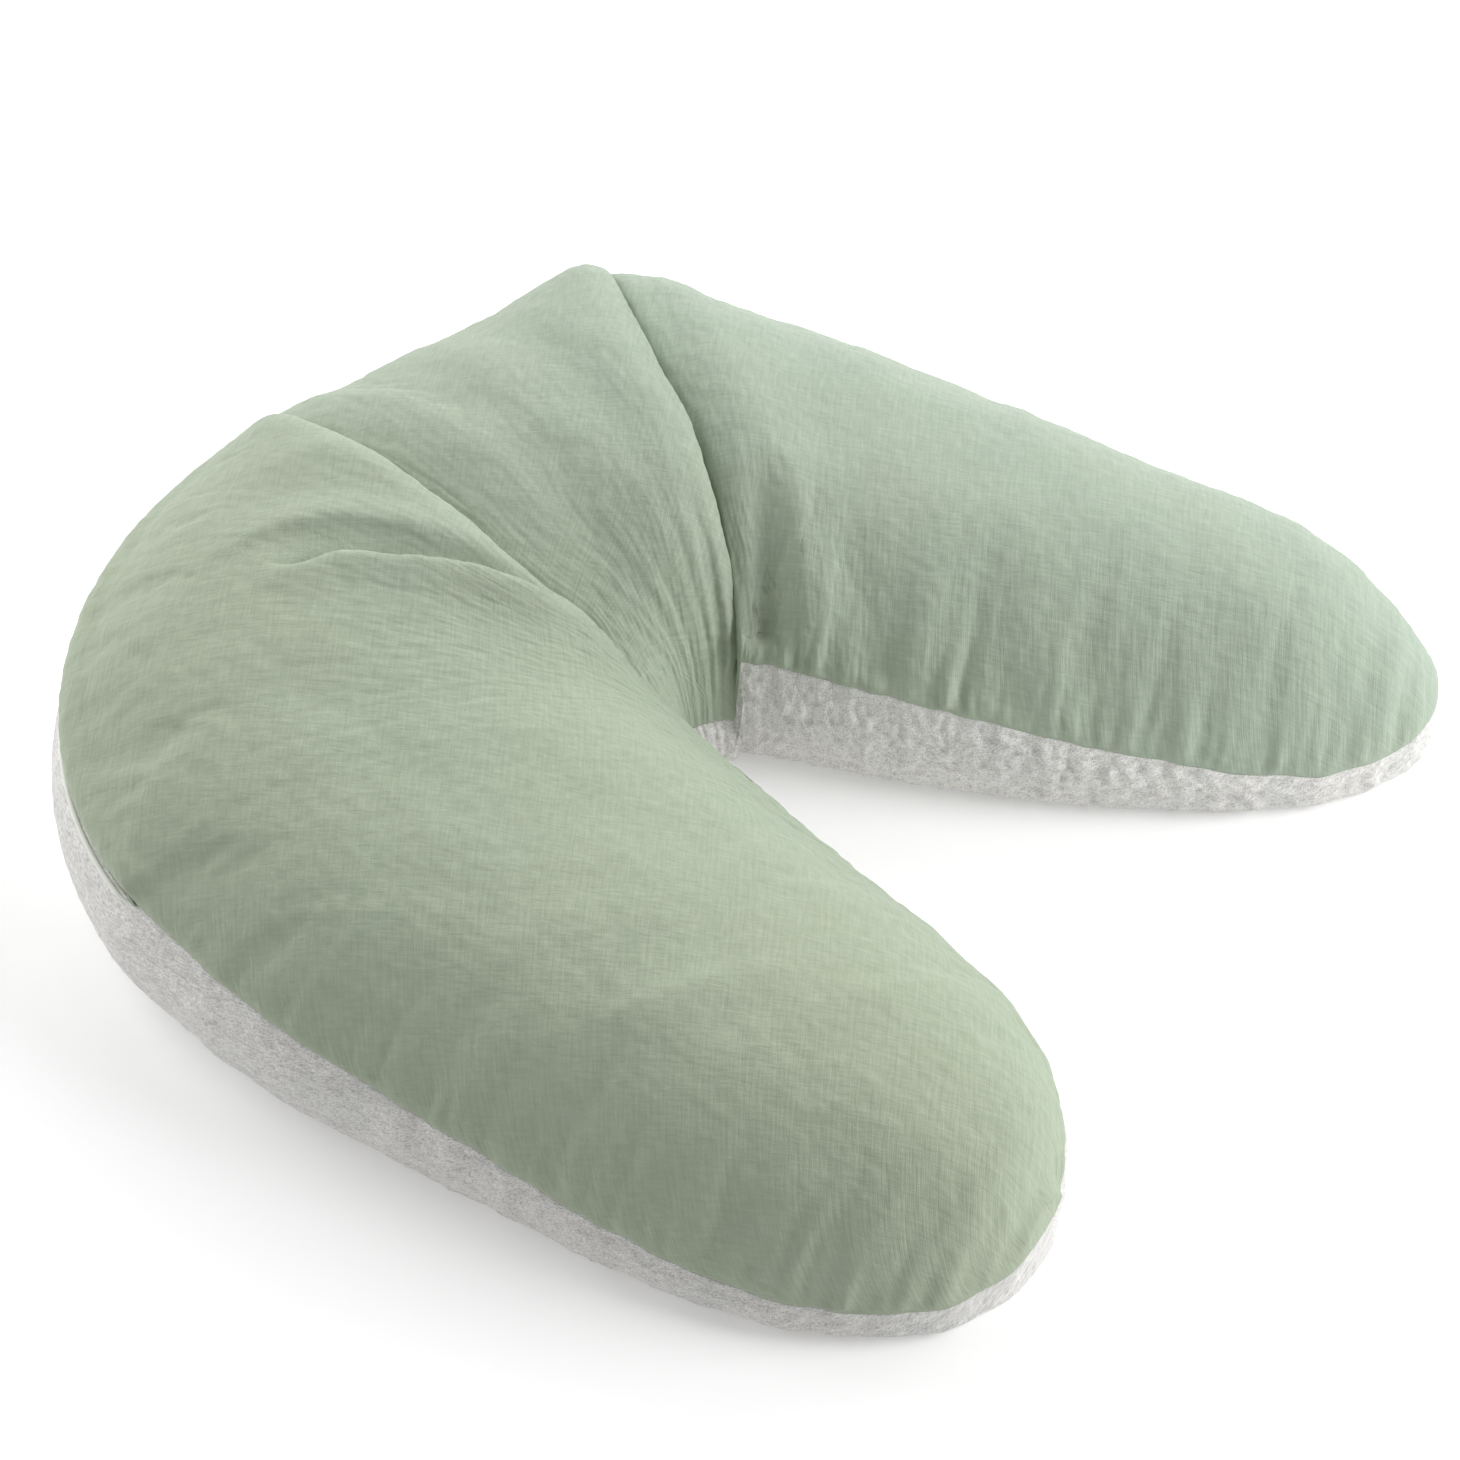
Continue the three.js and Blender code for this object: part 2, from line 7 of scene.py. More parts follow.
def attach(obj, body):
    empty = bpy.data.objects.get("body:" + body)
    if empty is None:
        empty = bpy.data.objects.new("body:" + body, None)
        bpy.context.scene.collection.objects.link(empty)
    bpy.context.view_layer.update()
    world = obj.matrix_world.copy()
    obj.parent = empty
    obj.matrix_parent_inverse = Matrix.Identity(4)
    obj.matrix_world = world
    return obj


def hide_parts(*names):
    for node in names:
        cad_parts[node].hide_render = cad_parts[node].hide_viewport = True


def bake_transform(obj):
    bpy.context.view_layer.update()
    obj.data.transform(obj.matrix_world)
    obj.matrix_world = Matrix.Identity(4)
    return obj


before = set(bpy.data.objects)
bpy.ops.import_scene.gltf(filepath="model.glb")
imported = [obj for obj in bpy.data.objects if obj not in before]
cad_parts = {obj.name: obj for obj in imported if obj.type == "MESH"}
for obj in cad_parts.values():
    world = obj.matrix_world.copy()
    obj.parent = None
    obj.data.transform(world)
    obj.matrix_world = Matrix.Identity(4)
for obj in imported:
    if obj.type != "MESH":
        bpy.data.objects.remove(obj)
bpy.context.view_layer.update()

# ---------------------------------------------------------------------------
# Driving shape, in millimetres: one row for each station of the seam loop, from
# the tip of the left arm, round the bend, to the tip of the right arm.
# outer seam x, y, z, inner seam x, y, z, height of the crown, sag of the lower
# side wall outside and inside
STATIONS = np.array([
    [-188.6, -347.2, 30.7, -188.6, -347.2, 30.7, 30.7, 0, 0],
    [-194.6, -347.5, 30.2, -184.6, -346.8, 30.7, 33.6, 0.5, 0.5],
    [-208.2, -347.2, 28.5, -178.8, -345.4, 31, 43.5, 2.2, 2.2],
    [-231.1, -344.2, 26.5, -169.8, -342, 32, 59.9, 2.9, 3.1],
    [-259.1, -331.9, 25.2, -152.3, -335.1, 33.8, 82.9, 2.9, 3.2],
    [-286.6, -305.5, 25.8, -125.9, -318, 37.8, 103.4, 2.9, 3.5],
    [-309.7, -263.6, 29.1, -94.9, -280.1, 45.5, 117, 2.9, 4],
    [-325.3, -208.2, 35.5, -72, -223.2, 56.1, 127.4, 3.3, 4.7],
    [-331.5, -146.2, 44.7, -58.1, -162.4, 67, 132.8, 3.9, 5.6],
    [-332, -83.8, 55.2, -47.4, -107, 76.7, 136.8, 4.6, 6.4],
    [-331.8, 2.8, 70.6, -30.5, -48.3, 86.8, 142.5, 7, 7.3],
    [-327.4, 89.3, 85, -15.1, -18.1, 91.4, 148.3, 9.5, 7.5],
    [-308.4, 173.6, 95.1, -6.9, -5.9, 93.1, 154.5, 12.1, 6.6],
    [-303.6, 189.08, 96, -5.8, -4.6, 93.3, 155.7, 12.5, 6.4],
    [-285.7, 224.16, 96, -3.5, -1.7, 93.6, 158.6, 12.5, 6.2],
    [-263.04, 256.37, 96, -1.1, 1, 94, 161.8, 12.5, 6],
    [-236.08, 285.07, 96, 1.2, 3.4, 94.3, 165.1, 12.5, 5.8],
    [-205.35, 309.7, 96, 3.7, 5.5, 94.6, 168.6, 12.5, 5.7],
    [-171.46, 329.76, 96, 6.2, 7.1, 94.8, 171.9, 12.5, 5.5],
    [-135.09, 344.85, 96, 8.6, 8.2, 95, 174.9, 12.5, 5.4],
    [-96.96, 354.69, 96, 10.7, 8.8, 95.1, 177.6, 12.5, 5.3],
    [-57.82, 359.06, 96, 12.7, 9, 95.2, 180.1, 12.5, 5.3],
    [-18.46, 357.88, 96, 14.5, 8.9, 95.2, 182.5, 12.5, 5.3],
    [20.34, 351.19, 96, 16.5, 8.6, 95.2, 184.7, 12.5, 5.3],
    [57.82, 339.1, 96, 18.8, 7.9, 95.2, 186.7, 12.5, 5.3],
    [93.23, 321.86, 96, 21.1, 6.8, 95.2, 188.9, 12.5, 5.3],
    [109.1, 317.1, 96.2, 22.1, 6.3, 95.2, 189.8, 12.5, 5.3],
    [182.6, 283.9, 95.4, 27.2, 2.6, 95, 194, 12.2, 5.4],
    [249.1, 239.1, 94.1, 33.4, -3.9, 94.5, 195.8, 11.7, 5.7],
    [280, 191.4, 91.9, 39.7, -13, 93.8, 191.6, 10.8, 6.1],
    [298.4, 137.5, 88, 46.7, -28, 92.6, 183.1, 10, 6.9],
    [310.8, 81.7, 82.1, 54.2, -53.2, 90.1, 172.6, 9, 7.6],
    [319.3, 25.3, 74.5, 61.3, -79, 87, 163.5, 7.7, 7.3],
    [325, -31.5, 65.9, 70.2, -108, 82.6, 155.9, 6.2, 6.9],
    [328.9, -88.4, 56.9, 83, -144.4, 76, 149.3, 4.8, 6.4],
    [332, -146, 48.1, 105.4, -197.3, 64.4, 142.9, 4.2, 5.4],
    [335, -203.5, 40.1, 132, -248.6, 51.4, 134.5, 3.6, 4.4],
    [334.8, -253.4, 34.7, 159.9, -294.3, 39.1, 123.7, 3.3, 3.6],
    [329, -293.2, 32.2, 192.6, -334.4, 30.1, 102.4, 3.1, 3],
    [318.8, -324.2, 31.9, 225.3, -358.9, 29, 80.3, 3.1, 2.9],
    [307, -346.1, 32.8, 256.4, -369.5, 32.5, 60.5, 3.1, 3.1],
    [297.5, -359.4, 34, 279.5, -368, 34.4, 44.2, 1.6, 1.6],
    [291.5, -363.6, 34.6, 291.5, -363.6, 34.6, 34.6, 0, 0],
], float)
ZIP_C = np.array([-46.45, 79.93])
ZIP_R, ZIP_Z = 279.36, 96.0
ZIP_LIFT, SEAM_GAP = 3.5, 0.3
COVER_T = 1.4
MM = 0.001

_dO = np.linalg.norm(np.diff(STATIONS[:, :2], axis=0), axis=1)
_dI = np.linalg.norm(np.diff(STATIONS[:, 3:5], axis=0), axis=1)
TT = np.r_[0, np.cumsum(0.6 * _dO + 0.4 * _dI)]
TT /= TT[-1]
S_ZIP0, S_ZIP1 = TT[13], TT[25]


def hermite(t, V, x):
    """Smooth curve through the rows V at the knots t, read at x of any shape."""
    V = np.asarray(V, float)
    h = np.diff(t)
    d = np.diff(V, axis=0) / h[:, None]
    m = np.empty_like(V)
    m[1:-1] = (d[:-1] * h[1:, None] + d[1:] * h[:-1, None]) / (h[1:] + h[:-1])[:, None]
    m[0] = 2 * d[0] - m[1]
    m[-1] = 2 * d[-1] - m[-2]
    k = np.clip(np.searchsorted(t, x, side="right") - 1, 0, len(h) - 1)
    u = ((x - t[k]) / h[k])[..., None]
    H = h[k][..., None]
    return ((2 * u**3 - 3 * u**2 + 1) * V[k] + (u**3 - 2 * u**2 + u) * H * m[k]
            + (-2 * u**3 + 3 * u**2) * V[k + 1] + (u**3 - u**2) * H * m[k + 1])


def smooth(x, a=0.0, b=1.0):
    t = np.clip((x - a) / (b - a), 0, 1)
    return t * t * (3 - 2 * t)


_LATTICE = {}


def noise(x, y, seed=0):
    """Gradient noise of two coordinates, about -1 to 1, the same in every run."""
    if seed not in _LATTICE:
        rng = np.random.default_rng(1000 + seed)
        a = rng.random((512, 512)) * 2 * np.pi
        _LATTICE[seed] = (np.cos(a), np.sin(a))
    gx, gy = _LATTICE[seed]
    xi, yi = np.floor(x).astype(int), np.floor(y).astype(int)
    fx, fy = x - xi, y - yi
    u = fx**3 * (fx * (fx * 6 - 15) + 10)
    v = fy**3 * (fy * (fy * 6 - 15) + 10)

    def g(i, j):
        a, b = (xi + i) % 512, (yi + j) % 512
        return gx[a, b] * (fx - i) + gy[a, b] * (fy - j)

    top = g(0, 0) * (1 - u) + g(1, 0) * u
    low = g(0, 1) * (1 - u) + g(1, 1) * u
    return 1.6 * (top * (1 - v) + low * v)


def zip_zone(s):
    """1 along the opening, 0 on the sewn seam, with short runs between."""
    w = 0.004
    return smooth(s, S_ZIP0 - w, S_ZIP0 + 0.2 * w) * (1 - smooth(s, S_ZIP1 - 0.2 * w, S_ZIP1 + w))


def far_from_zip(s, soft=0.03):
    return 1 - smooth(s, S_ZIP0 - soft, S_ZIP0) * (1 - smooth(s, S_ZIP1, S_ZIP1 + soft))


def rails(s):
    """Outer and inner seam, crown height and sags at s."""
    R = hermite(TT, STATIONS, s)
    O, I = R[..., :3].copy(), R[..., 3:6].copy()
    e = 1e-4
    sa, sb = np.clip(s - e, 0, 1), np.clip(s + e, 0, 1)
    A, B = hermite(TT, STATIONS, sa), hermite(TT, STATIONS, sb)
    tO, tI = B[..., 0:2] - A[..., 0:2], B[..., 3:5] - A[..., 3:5]
    tO /= np.maximum(np.linalg.norm(tO, axis=-1, keepdims=True), 1e-9)
    tI /= np.maximum(np.linalg.norm(tI, axis=-1, keepdims=True), 1e-9)
    nO = np.stack([tO[..., 1], -tO[..., 0]], -1)      # into the pillow
    nI = np.stack([-tI[..., 1], tI[..., 0]], -1)
    # sewn seams wander a little; the zip stays on its arc
    free = far_from_zip(s) * smooth(s, 0, 0.02) * smooth(1 - s, 0, 0.02)
    a = s * 1900 / 26.0
    O[..., :2] += nO * (noise(a, 0 * a + 3.3, 1) * 1.3 * free)[..., None]
    O[..., 2] += noise(a * 0.8, 0 * a + 9.1, 2) * 1.5 * free
    ends = smooth(s, 0, 0.03) * smooth(1 - s, 0, 0.03)
    I[..., :2] += nI * (noise(a, 0 * a + 5.7, 3) * 1.1 * ends)[..., None]
    I[..., 2] += noise(a * 0.9, 0 * a + 1.2, 4) * 1.6 * ends
    # the seam is drawn down into the crotch as far as the main fold
    I[..., 2] -= 50.0 * smooth(s, 0.24, 0.38) * (1 - smooth(s, 0.6385, 0.6475))
    T = R[..., 6] + 5.0 * smooth(s, 0.70, 0.80) * (1 - smooth(s, 0.93, 0.99))
    return O, I, T, R[..., 7], R[..., 8], nO, nI


# ---------------------------------------------------------------------------
# Folds of the cover. Each runs from the back of the bend to the crotch; r is
# +1 at the outer seam and -1 at the inner seam.
FOLD_MAIN = np.array([(-1.0, 0.6430), (-0.92, 0.6429), (-0.77, 0.6404), (-0.67, 0.6379), (-0.52, 0.6366),
                      (-0.21, 0.6348), (-0.04, 0.6316), (0.25, 0.6300), (0.71, 0.6290), (1.0, 0.6285)])
FOLD_LAP = np.array([(-1.0, 0.296), (-0.962, 0.3227), (-0.872, 0.3852), (-0.725, 0.4415), (-0.522, 0.4578),
                     (-0.233, 0.4841), (0.105, 0.5016), (0.466, 0.5128), (0.839, 0.5197), (1.0, 0.5205)])


def fold_s(table, r):
    return hermite(table[:, 0], table[:, 1:], r)[..., 0]


def graded(n, a, b, squeeze=0.55):
    u = np.arange(n) / n
    return u


def s_grid(cells, r):
    """s of each grid point: columns are shared out between the tips and the two folds,
    so that a column lies exactly along each fold."""
    n0, n1, n2 = cells
    b1, b2 = fold_s(FOLD_LAP, r), fold_s(FOLD_MAIN, r)
    out = []
    for n, a, b, last, k0, k1 in ((n0, 0 * r, b1, False, 0.0, 1.0), (n1, b1, b2, False, 1.0, 1.0), (n2, b2, 0 * r + 1, True, 1.0, 0.0)):
        u = np.arange(n + (1 if last else 0)) / n
        k = 0.62
        g = u - k * (np.sin(2 * np.pi * u) / (2 * np.pi)) if k0 and k1 else None
        if g is None:
            # closer together at the fold end only
            v = 1 - u if k1 else u
            h = v - k * (np.sin(np.pi * v) / np.pi)
            g = 1 - h if k1 else h
        out.append(a[None] + (b - a)[None] * g[:, None])
    return np.concatenate(out, 0)


def crown_r(m):
    return np.cos(np.linspace(0, np.pi, m))


# plan lines of the softer creases: points in mm, height, half width
SOFT = [
    ([(115, 281), (96, 225), (78, 168), (50, 94), (25, 24)], 2.6, 17),
    ([(150, 300), (140, 235), (112, 150), (66, 62)], -2.0, 15),
    ([(60, 318), (48, 240), (30, 150), (10, 60)], 1.8, 14),
    ([(-150, 270), (-120, 200), (-80, 120), (-40, 50)], 1.8, 22),
    ([(-230, 190), (-180, 110), (-110, 30), (-60, -20)], 1.6, 26),
    ([(250, 160), (200, 110), (140, 50), (80, -5)], 2.4, 20),
    ([(285, 110), (230, 60), (170, 10), (100, -40)], -1.8, 18),
    ([(300, 60), (240, 10), (180, -40), (110, -80)], 1.6, 22),
    ([(-310, 20), (-220, -10), (-140, -40), (-60, -70)], -1.4, 30),
    ([(320, -60), (250, -90), (180, -120), (100, -150)], 1.4, 26),
]
# creases across the arms: points in mm, rise, half width on the left of the line and on its right
RIDGES = [
    ([(-128, 268), (-92, 256), (-59, 214), (-37, 142), (-17, 79)], 6.0, 15, 8),
    ([(-290, -78), (-249, -120), (-214, -148), (-176, -184)], 2.6, 9, 20),
    ([(-325, -178), (-298, -224), (-272, -262)], 2.6, 7, 12),
    ([(-200, -206), (-159, -231), (-112, -262)], 1.8, 9, 14),
    ([(-259, -90), (-283, -114), (-304, -144)], -2.6, 16, 16),
    ([(-312, -188), (-308, -228), (-300, -257)], -2.2, 10, 10),
    ([(-60, 300), (-9, 248), (-17, 177), (-28, 114)], 2.4, 14, 14),
    ([(-200, 250), (-150, 190), (-110, 120), (-70, 50)], 2.0, 16, 22),
]
# rises and hollows on the inner wall of the right arm, beside the main fold and beyond it
WALLS = [
    ([(36, -30), (58, -19), (96, 6), (140, 30)], -9.5, 13),
    ([(50, -50), (71, -41), (112, -8), (150, 20)], 4.0, 12),
    ([(60, -92), (74, -81), (104, -58), (128, -38)], -4.2, 14),
    ([(72, -134), (89, -117), (116, -97), (150, -76)], 2.8, 14),
    ([(84, -166), (97, -156), (127, -135), (160, -118)], -2.8, 15),
    ([(98, -196), (112, -186), (140, -170)], 2.0, 13),
    ([(110, -222), (124, -209), (152, -196)], -1.8, 13),
    ([(140, -262), (160, -252), (190, -240)], 1.6, 14),
]
HOOK = [(-101, 236), (-100, 222), (-93, 210), (-79, 199), (-61, 162), (-42, 124), (-32, 97), (-14, 58)]


def line_distance(P, line):
    """(signed distance, share along) of points to an open plan line; positive to the right of travel."""
    L = np.asarray(line, float)
    # smooth the corners
    t = np.r_[0, np.cumsum(np.linalg.norm(np.diff(L, axis=0), axis=1))]
    q = hermite(t / t[-1], L, np.linspace(0, 1, 60))
    best = np.full(P.shape[:-1], 1e9)
    sign = np.ones(P.shape[:-1])
    share = np.zeros(P.shape[:-1])
    for n in range(len(q) - 1):
        a, b = q[n], q[n + 1]
        d = b - a
        u = np.clip(((P - a) @ d) / (d @ d), 0, 1)
        v = P - (a + u[..., None] * d)
        h = np.hypot(v[..., 0], v[..., 1])
        m = h < best
        best = np.where(m, h, best)
        sign = np.where(m, np.sign(v[..., 0] * d[1] - v[..., 1] * d[0]), sign)
        share = np.where(m, (n + u) / (len(q) - 1), share)
    return best * sign, share


def fold_profile(d, R, H, L, V, Rv, G):
    """Rise and sideways shift beside a fold. d is positive on the roll that laps over."""
    x = np.clip(d / R, 0, 1)
    lip = np.where(d < R, -V + (V + H) * np.sqrt(np.clip(1 - (1 - x) ** 2, 0, 1)), H * np.exp(-(((d - R) / L) ** 2)))
    y = np.clip(-d / Rv, 0, 1)
    low = -V + V * np.sqrt(np.clip(1 - (1 - y) ** 2, 0, 1))
    rise = np.where(d >= 0, lip, low)
    q = np.maximum(d, 0) / 5.0
    shift = G * q * np.exp(1 - q)
    return rise, shift


def crown(S, r, cells, sharp=1.0, lift=True):
    """Upper surface on the grid S (columns along, rows across)."""
    O, I, T, _, _, _, _ = rails(S)
    a, b = ((1 + r) / 2)[None], ((1 - r) / 2)[None]
    base = O[..., 2] * a + I[..., 2] * b
    edge = np.where(r[None] > 0, SEAM_GAP / 2 + (ZIP_LIFT - SEAM_GAP / 2) * zip_zone(S), SEAM_GAP / 2) if lift else 0.0
    up = np.maximum(T - base, 0)
    z = base + edge + np.maximum(up - edge, 0) * np.sqrt(np.clip(1 - np.abs(r[None]) ** 2.2, 0, 1))
    xy = O[..., :2] * a[..., None] + I[..., :2] * b[..., None]
    P = np.concatenate([xy, z[..., None]], -1)
    step = np.linalg.norm(np.diff(P[..., :2], axis=0), axis=-1)
    cum = np.concatenate([np.zeros((1, P.shape[1])), np.cumsum(step, 0)], 0)
    along = np.gradient(P[..., :2], axis=0)
    along /= np.maximum(np.linalg.norm(along, axis=-1, keepdims=True), 1e-9)
    rim = smooth(1 - np.abs(r), 0.0, 0.05)[None]
    i2, i1 = cells[0], cells[0] + cells[1]
    rr = np.broadcast_to(r[None], S.shape)
    # main fold
    d = cum[i1][None] - cum
    f = hermite(np.array([-1, -0.97, -0.85, -0.6, -0.3, 0.1, 0.45, 0.75, 0.93, 1.0]),
                np.array([[0.0], [0.6], [1.2], [1.3], [1.0], [0.74], [0.6], [0.52], [0.25], [0.0]]), rr)[..., 0]
    keep = np.clip(cum[i1][None] / 200, 0, 1)
    dz, sh = fold_profile(d, 23, 8.0, 46, 24, 58, 7.0)
    if sharp <= 0:
        dz, sh = -8 * np.exp(-((d / 34) ** 2)) + 4 * np.exp(-(((d - 34) / 30) ** 2)), 0 * sh
    P[..., 2] += dz * f * rim
    P[..., :2] += along * (sh * f * rim)[..., None]
    dist_main = np.abs(d)
    # the near arm laps over the bend
    d2 = cum[i2][None] - cum
    f2 = hermite(np.array([-1, -0.97, -0.85, -0.6, -0.2, 0.1, 0.45, 0.8, 0.92, 1.0]),
                 np.array([[0.0], [0.35], [0.85], [1.0], [1.0], [0.92], [0.8], [0.6], [0.3], [0.0]]), rr)[..., 0]
    dz, sh = fold_profile(d2, 17, 5.5, 36, 13.5, 42, 4.6)
    if sharp <= 0:
        dz, sh = -3 * np.exp(-((d2 / 26) ** 2)) + 2 * np.exp(-(((d2 - 26) / 24) ** 2)), 0 * sh
    P[..., 2] += dz * f2 * rim
    P[..., :2] += along * (sh * f2 * rim)[..., None]
    dist_lap = np.abs(d2)
    # the pointed shoulder at the back end of the main fold
    c = np.array([216.0, 205.0])
    h = np.hypot(P[..., 0] - c[0], P[..., 1] - c[1])
    g = np.where(d > 0, np.exp(-((h / 40) ** 2)), np.exp(-((h / 62) ** 2))) * rim
    P[..., 2] += 10 * g
    P[..., :2] += g[..., None] * 7 * np.array([0.859, 0.512])
    h = np.hypot(P[..., 0] - 22, P[..., 1] - 316)
    g = np.where(d2 > 0, np.exp(-((h / 26) ** 2)), 0.5 * np.exp(-((h / 40) ** 2))) * rim
    P[..., 2] += 5 * g
    P[..., :2] += g[..., None] * 3 * np.array([0.859, 0.512])
    # soft creases
    for line, height, width in SOFT:
        dd, t = line_distance(P[..., :2], line)
        end = np.sin(np.pi * np.clip(t, 0.02, 0.98)) ** 0.6
        P[..., 2] += height * np.exp(-((dd / width) ** 2)) * end * rim
    # hooked crease on the near arm
    dd, t = line_distance(P[..., :2], HOOK)
    e = smooth(t, 0.0, 0.18) * (1 - smooth(t, 0.82, 1.0))
    if sharp > 0:
        q = dd
        lip = fold_profile(q, 7.5, 5.4, 15, 4.6, 20, 0.0)[0]
        P[..., 2] += lip * e * rim
    for line, height, wl, wr in RIDGES:
        dd, t = line_distance(P[..., :2], line)
        end = np.sin(np.pi * np.clip(t, 0.02, 0.98)) ** 0.7
        wide = np.where(dd > 0, wr, wl)
        P[..., 2] += height * np.exp(-((dd / wide) ** 2)) * end * rim
    # broad unevenness
    x, y = P[..., 0], P[..., 1]
    P[..., 2] += (1.9 * noise(x / 85 + 3, y / 85, 5) + 1.1 * noise(x / 38, y / 38 + 7, 6)) * rim
    return P, dist_main, dist_lap


HALF_UNDER = np.array([(1, 0, 1), (1, 0.95, 0.62), (0.985, 0.6, 0.25), (0.93, 0, 0.04), (0.8, 0, 0), (0.4, 0, 0)], float)
UNDER = np.concatenate([np.c_[HALF_UNDER, np.ones(6)], np.c_[HALF_UNDER[::-1], -np.ones(6)]])


def under_q(n, flat=7):
    wall = np.linspace(0, 3.3, n)
    mid = np.linspace(3.3, 7.7, 2 * flat + 2)[1:-1]
    return np.r_[wall, mid, 11 - wall[::-1]]


def under(S, q):
    """Lower surface: rows q from the outer seam (0) to the inner seam (11)."""
    O, I, T, so, si, _, _ = rails(S)
    w = np.linalg.norm(O[..., :2] - I[..., :2], axis=-1)
    d = (O[..., :2] - I[..., :2]) / np.maximum(w, 1e-6)[..., None]
    m = (O[..., :2] + I[..., :2]) / 2
    prof = hermite(np.arange(6.0), HALF_UNDER, np.minimum(q, 11 - q).clip(0, 5))
    side = np.where(q < 5.5, 1.0, -1.0)
    mid = np.clip((q - 5) / 1.0, 0, 1)
    share = np.where((q > 5) & (q < 6), 0.4 * (1 - 2 * mid), prof[:, 0] * side)
    sag = prof[:, 1]
    zs = np.maximum(prof[:, 2], 0)
    lift = np.where(side > 0, SEAM_GAP / 2 + (ZIP_LIFT - SEAM_GAP / 2) * zip_zone(S), SEAM_GAP / 2)
    seam = np.where(side[None] > 0, O[..., 2], I[..., 2]) - lift
    s_ = w / 2 * share[None] + np.where(side[None] > 0, so, si) * (sag * side)[None]
    z = seam * zs[None]
    return np.concatenate([m + d * s_[..., None], z[..., None]], -1)


# ---------------------------------------------------------------------------
# mesh helpers
def new_mesh(name, verts, faces, uv=None, smooth_faces=True):
    """verts in mm. faces: (n, 4) or list. uv: per-vertex pairs in metres."""
    me = bpy.data.meshes.new(name)
    me.from_pydata((np.asarray(verts, float) * MM).tolist(), [], [tuple(int(i) for i in f) for f in faces])
    me.validate(clean_customdata=False)
    me.update()
    if uv is not None:
        layer = me.uv_layers.new(name="cloth")
        loops = np.zeros(len(me.loops), np.int32)
        me.loops.foreach_get("vertex_index", loops)
        layer.data.foreach_set("uv", np.asarray(uv, np.float32)[loops].ravel())
    if smooth_faces:
        me.polygons.foreach_set("use_smooth", np.ones(len(me.polygons), bool))
    ob = bpy.data.objects.new(name, me)
    bpy.context.scene.collection.objects.link(ob)
    return ob


def grid_faces(n, m, flip=False, offset=0):
    i, j = np.meshgrid(np.arange(n - 1), np.arange(m - 1), indexing="ij")
    a = (i * m + j).ravel() + offset
    f = np.stack([a, a + m, a + m + 1, a + 1], -1)
    return f[:, ::-1] if flip else f


def grid_object(name, P, uv=None, flip=False, merge_tips=True):
    """A sheet from a grid of points; its first and last columns close to the tips."""
    n, m = P.shape[:2]
    f = grid_faces(n, m, flip)
    ob = new_mesh(name, P.reshape(-1, 3), f, None if uv is None else uv.reshape(-1, 2))
    return ob


def normals_of(P):
    du, dv = np.gradient(P, axis=0), np.gradient(P, axis=1)
    n = np.cross(du, dv)
    return n / np.maximum(np.linalg.norm(n, axis=-1, keepdims=True), 1e-9)


def upsample(D, n, m, rows=None):
    """Smooth resampling of a grid field (n0, m0, k) to n columns and the given row positions (0..1)."""
    n0, m0 = D.shape[:2]

    def cubic(F, x):
        k = np.clip(np.floor(x).astype(int), 0, F.shape[0] - 2)
        u = (x - k)[(...,) + (None,) * (F.ndim - 1)]
        a, b, c, d = F[np.maximum(k - 1, 0)], F[k], F[k + 1], F[np.minimum(k + 2, F.shape[0] - 1)]
        return b + 0.5 * u * (c - a + u * (2 * a - 5 * b + 4 * c - d + u * (3 * (b - c) + d - a)))

    X = cubic(D, np.linspace(0, n0 - 1, n))
    y = np.linspace(0, 1, m) if rows is None else rows
    return np.swapaxes(cubic(np.swapaxes(X, 0, 1), y * (m0 - 1)), 0, 1)


# ---------------------------------------------------------------------------
# The stuffed shape: cloth under a little pressure, held at its seams and where
# it lies, with extra length gathered into the seams.
SIM_CELLS = (150, 62, 150)
SIM_TOP, SIM_WALL = 46, 13
CAP_TOP, CAP_WALL = 6.0, 3.2


